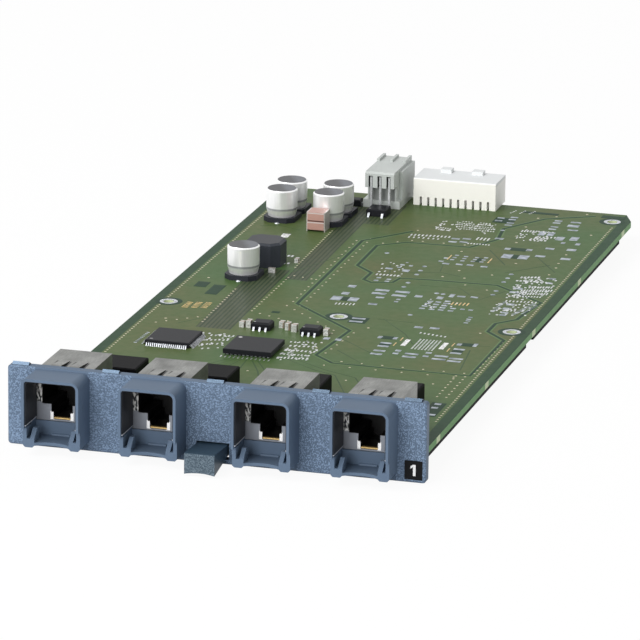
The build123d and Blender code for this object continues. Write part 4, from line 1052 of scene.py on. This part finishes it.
class MODULE_OT_capacitors(ModuleOperator):
    """Finishes the capacitor cans and bases and adds their solder joints"""

    bl_idname = "module.capacitors"
    bl_label = "Capacitors"

    def make(self):
        colours = self.colours
        fillets = []
        for number in range(1, 6):
            low, high = span(f"capacitor_can_{number}")
            x, depth, _ = (low + high) / 2
            finish = Finish(f"can_{number}_metal", colours.can, 0.3, metallic=0.55, specular=0.3)
            lines = finish.noise(0.3, stretch=(1.0, 1.0, 18.0))
            slope = finish.x - x + 0.5 * (finish.depth - depth) + finish.noise(1.6) * 1.6
            # Painted shade: the can's top is painted darker grey than its sides.
            shaded_cap = finish.height.above(high.z - 0.1, 0.05) * finish.disc(x, depth, CAN_CAP, 0.2)
            face = finish.mix(WHITE, ink(206, 208, 212), lines.above(0.5, 0.8) * 0.4)
            face = finish.mix(face, ink(86, 90, 98), shaded_cap)
            # The part of each top towards the left and the front is painted dark, with a soft, uneven edge.
            face = finish.mix(face, colours.can_top_dark_part, shaded_cap * slope.below(1.6, 2.4))
            # Painted highlight: the can's foot is painted nearly plain white against the shade it gets
            # facing down.
            face = finish.mix(face, WHITE, finish.height.below(CAN_FOOT_HIGHLIGHT, 0.2) * 0.8)
            # Painted shade: a grey band at the neck stands for the shade in the can's groove.
            finish.paint(face, ink(104, 108, 114), finish.height.between(*CAN_NECK_SHADE, 0.3) * 0.75)
            finish.set("Metallic", 0.55 - shaded_cap * 0.25)
            finish.set("Roughness", lines * 0.14 + 0.24)
            dress(finish, f"capacitor_can_{number}")
            base = moulded_finish(f"base_{number}_moulding", colours.base, 0.5)
            dress(base, f"capacitor_base_{number}")
            fillets += [(x, depth + side * FILLET_OFFSET, 1.7, 1.6) for side in (-1, 1)]
        tin = tin_finish("joint_tin", colours.tin, 0.22)
        joints = scatter(bead_template(0.45 * MM, 12), fillets)
        smooth(joints)
        settle(joints, "capacitor_joints", tin)


class MODULE_OT_power_parts(ModuleOperator):
    """Finishes the inductor, the stacked capacitor and the small chip parts"""

    bl_idname = "module.power_parts"
    bl_label = "Power parts"

    def make(self):
        colours = self.colours
        ferrite = Finish("ferrite_body", colours.ferrite, 0.36, specular=0.1)
        grit = ferrite.noise(0.25, detail=3.0)
        body = ferrite.mix(ink(48, 51, 57), colours.ferrite, grit)
        top = ferrite.height.above(span("power_inductor")[1].z - 0.05, 0.05)
        ferrite.paint(body, ink(40, 42, 47), top * 0.8)
        ferrite.bump(grit, 0.03, 0.5)
        dress(ferrite, "power_inductor")
        low, high = span("stacked_capacitor")
        stack = Finish("stack_ceramic", colours.ceramic, 0.4)
        fine = stack.noise(0.4, detail=3.0)
        plate = abs(stack.x - (low.x + high.x) / 2).above(STACK_HALF, 0.1)
        seams = [stack.height.between(*seam, 0.1) for seam in STACK_SEAMS]
        body = stack.mix(toned(colours.ceramic, 0.8), colours.ceramic, fine)
        stack.paint(body, ink(214, 212, 210), either([plate, *seams]) * 0.85)
        stack.set("Metallic", plate * 0.7)
        stack.bump(fine, 0.02, 0.5)
        dress(stack, "stacked_capacitor")
        self.chip_parts()

    def chip_parts(self):
        """Chip capacitors: a tan body between two tinned ends, worked out from each box of the node."""
        chips = Finish("chip_part_ceramic", self.colours.chip, 0.4)
        corners = sorted(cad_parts["chip_capacitors"].data.vertices, key=lambda corner: corner.co.x)
        runs = [[corners[0].co]]
        for here, there in zip(corners, corners[1:]):
            if there.co.x - here.co.x > 0.3 * MM:
                runs.append([])
            runs[-1].append(there.co)
        bands = []
        for run in runs:
            near = min(corner.y for corner in run)
            far = max(corner.y for corner in run)
            middle = ((near + far) / 2 - FACE_Y) / MM
            across = (run[0].x + run[-1].x) / 2 / MM
            bands.append(chips.patch(across, middle, 2.4, (far - near) / MM * 0.46, 0.1))
        body = either(bands)
        fine = chips.noise(0.5)
        ends = chips.mix(ink(190, 190, 188), ink(240, 240, 238), fine.above(0.5, 0.3))
        chips.paint(ends, self.colours.chip, body)
        chips.set("Metallic", 0.5 - body * 0.5)
        chips.set("Roughness", fine * 0.1 + 0.3)
        dress(chips, "chip_capacitors")


class MODULE_OT_connectors(ModuleOperator):
    """Finishes the rear connectors and their metal parts"""

    bl_idname = "module.connectors"
    bl_label = "Rear connectors"

    def power(self):
        """Grey moulding with painted shade in the slot before each pin."""
        grey = moulded_finish("power_moulding", self.colours.grey, 0.45, relief=0.015)
        low, high = span("power_pins")
        behind = grey.x.between(low.x - 1.0, high.x + 1.0, 0.1) * grey.height.between(10.6, 15.8, 0.1)
        behind = behind * grey.depth.between(258.0, 259.6, 0.1)
        shade = grey.mix(grey.painted(), ink(118, 121, 120), behind * 0.7)
        middle = (low.x + high.x) / 2
        pitch = (high.x - low.x) / 2 - 0.35
        front = low.y - 0.8
        # Painted shade: the slot before each pin is painted near black, as the shade inside it.
        pin_slot_shade = either([abs(grey.x - (middle + side * pitch)).below(SLOT_SHADE_REACH, 0.1) for side in (-1, 0, 1)])
        pin_slot_shade = pin_slot_shade * grey.depth.between(front + 0.15, front + 2.8, 0.2)
        pin_slot_shade = pin_slot_shade * grey.height.between(13.6, 20.0, 0.6)
        grey.paint(shade, ink(26, 27, 28), pin_slot_shade * 0.95)
        return grey

    def backplane(self):
        """Cream moulding with painted light and shade: its front painted warmer as the lit side, its roof
        greyer as the shaded side.
        """
        cream = moulded_finish("backplane_moulding", self.colours.cream, 0.5, relief=0.006)
        low, high = span("backplane_connector")
        # Painted light and shade: the fronts are painted warmer as the lit side, the roof greyer as the
        # shaded side.
        lit_fronts = cream.depth.below(low.y + 0.2, 0.1)
        shaded_roof = cream.height.above(high.z - 2.2, 0.1) * (1 - lit_fronts)
        shade = cream.mix(cream.painted(), ink(226, 229, 230), shaded_roof * 0.9)
        cream.paint(shade, (1.0, 0.975, 0.92), lit_fronts * 0.8)
        return cream

    def make(self):
        tin = brushed_finish("pin_tin", ink(240, 242, 245), (1.0, 1.0, 8.0), 0.3, metallic=0.5)
        gold = brushed_finish("blade_plating", self.colours.gold, (1.0, 8.0, 1.0), 0.3)
        dress(self.power(), "power_connector")
        dress(self.backplane(), "backplane_connector")
        dress(tin, "power_pins")
        dress(gold, "backplane_contacts")


class MODULE_OT_springs(ModuleOperator):
    """Finishes the spring strip, the return spring, the pin and the screws"""

    bl_idname = "module.springs"
    bl_label = "Springs and screws"

    def make(self):
        strip = brushed_finish("spring_sheet", self.colours.spring, (14.0, 1.0, 1.0), 0.26)
        steel = brushed_finish("turned_steel", ink(176, 178, 180), (1.0, 1.0, 6.0), 0.35)
        dress(strip, "emc_spring_strip", "lever_return_spring")
        dress(steel, "lever_pivot_pin", "panel_screws")


class MODULE_OT_stage(ModuleOperator):
    """Sets the floor, the soft studio light and the camera"""

    bl_idname = "module.stage"
    bl_label = "Stage"

    def floor(self):
        """Paper floor that is lit by the lamps and looks nearly white."""
        bpy.ops.mesh.primitive_plane_add(size=FLOOR_WIDTH, location=(0, 0, FLOOR_LEVEL))
        floor = bpy.context.object
        floor.name = "studio_floor"
        finish = Finish("studio_paper", self.colours.floor, 0.9, specular=0.1)
        finish.paint(self.colours.floor, WHITE, finish.noise(3.0))
        path = finish.tree.nodes.new("ShaderNodeLightPath")
        seen = either([Wire(finish, path.outputs[name]) for name in RAYS])
        glow = finish.node("ShaderNodeEmission", {}, {"Color": (*WHITE, 1.0), "Strength": 1.0})
        shaded = Wire(finish, finish.shader.outputs[0])
        mixed = finish.node("ShaderNodeMixShader", {}, (seen * FLOOR_GLOW, shaded, glow))
        output = next(n for n in finish.tree.nodes if n.type == "OUTPUT_MATERIAL")
        finish.tree.links.new(mixed.socket, output.inputs["Surface"])
        floor.data.materials.append(finish.material)

    def lamp(self, name, place, aim, width, power):
        """Square softbox turned towards a point."""
        bpy.ops.object.light_add(type="AREA", location=place)
        lamp = bpy.context.object
        lamp.name = name
        lamp.rotation_mode = "QUATERNION"
        lamp.rotation_quaternion = (Vector(aim) - Vector(place)).to_track_quat("-Z", "Y")
        lamp.data.shape = "SQUARE"
        lamp.data.size = width
        lamp.data.energy = power

    def surroundings(self):
        """White world: plain light on the object, full white where it is seen or mirrored."""
        world = bpy.data.worlds.new("studio_world")
        bpy.context.scene.world = world
        world.use_nodes = True
        nodes = world.node_tree.nodes
        links = world.node_tree.links
        background = nodes["Background"]
        path = nodes.new("ShaderNodeLightPath")
        first, *others = RAYS
        seen = path.outputs[first]
        for name in others:
            either_ray = nodes.new("ShaderNodeMath")
            either_ray.operation = "MAXIMUM"
            links.new(seen, either_ray.inputs[0])
            links.new(path.outputs[name], either_ray.inputs[1])
            seen = either_ray.outputs[0]
        level = nodes.new("ShaderNodeMapRange")
        level.inputs["To Min"].default_value = WORLD_LIGHT
        level.inputs["To Max"].default_value = 1.0
        links.new(seen, level.inputs["Value"])
        links.new(level.outputs["Result"], background.inputs["Strength"])
        background.inputs["Color"].default_value = (*WHITE, 1.0)

    def camera(self):
        """Camera of the photo, turned by its three angles."""
        azimuth, elevation, roll = CAMERA_AZIMUTH, CAMERA_ELEVATION, CAMERA_ROLL
        back = Vector((
            math.sin(azimuth) * math.cos(elevation),
            -math.cos(azimuth) * math.cos(elevation),
            math.sin(elevation),
        ))
        right = Vector((math.cos(azimuth), math.sin(azimuth), 0.0))
        up = back.cross(right)
        across = right * math.cos(roll) + up * math.sin(roll)
        upward = up * math.cos(roll) - right * math.sin(roll)
        turn = Matrix((across, upward, back)).transposed()
        bpy.ops.object.camera_add(location=CAMERA_PLACE, rotation=turn.to_euler())
        camera = bpy.context.object
        camera.data.lens = CAMERA_LENS
        camera.data.sensor_width = 36.0
        camera.data.clip_start = 0.05
        camera.data.clip_end = 30.0
        bpy.context.scene.camera = camera

    def make(self):
        deselect()
        self.floor()
        self.surroundings()
        for lamp in LAMPS:
            self.lamp(*lamp)
        self.camera()
        bpy.context.scene.view_settings.view_transform = "Standard"


class MODULE_PT_looks(bpy.types.Panel):
    """Lists the operators that dress the module"""

    bl_idname = "MODULE_PT_looks"
    bl_label = "Media module"
    bl_space_type = "VIEW_3D"
    bl_region_type = "UI"
    bl_category = "Module"

    def draw(self, context):
        for operator in OPERATORS:
            self.layout.operator(operator.bl_idname)
        for group in (context.scene.module_sizes, context.scene.module_colours):
            column = self.layout.column()
            for name in group.__annotations__:
                column.prop(group, name)


OPERATORS = (
    MODULE_OT_panel,
    MODULE_OT_lever,
    MODULE_OT_board,
    MODULE_OT_gaps,
    MODULE_OT_lands,
    MODULE_OT_vias,
    MODULE_OT_rings,
    MODULE_OT_jacks,
    MODULE_OT_packages,
    MODULE_OT_capacitors,
    MODULE_OT_power_parts,
    MODULE_OT_connectors,
    MODULE_OT_springs,
    MODULE_OT_stage,
)
CLASSES = (ModuleSizes, ModuleColours, *OPERATORS, MODULE_PT_looks)


def register():
    for item in CLASSES:
        bpy.utils.register_class(item)
    bpy.types.Scene.module_sizes = bpy.props.PointerProperty(type=ModuleSizes)
    bpy.types.Scene.module_colours = bpy.props.PointerProperty(type=ModuleColours)


def unregister():
    del bpy.types.Scene.module_colours
    del bpy.types.Scene.module_sizes
    for item in reversed(CLASSES):
        bpy.utils.unregister_class(item)


def main():
    """Dresses the whole module."""
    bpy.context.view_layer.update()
    register()
    for operator in OPERATORS:
        group, name = operator.bl_idname.split(".")
        getattr(getattr(bpy.ops, group), name)()


if __name__ == "__main__":
    main()
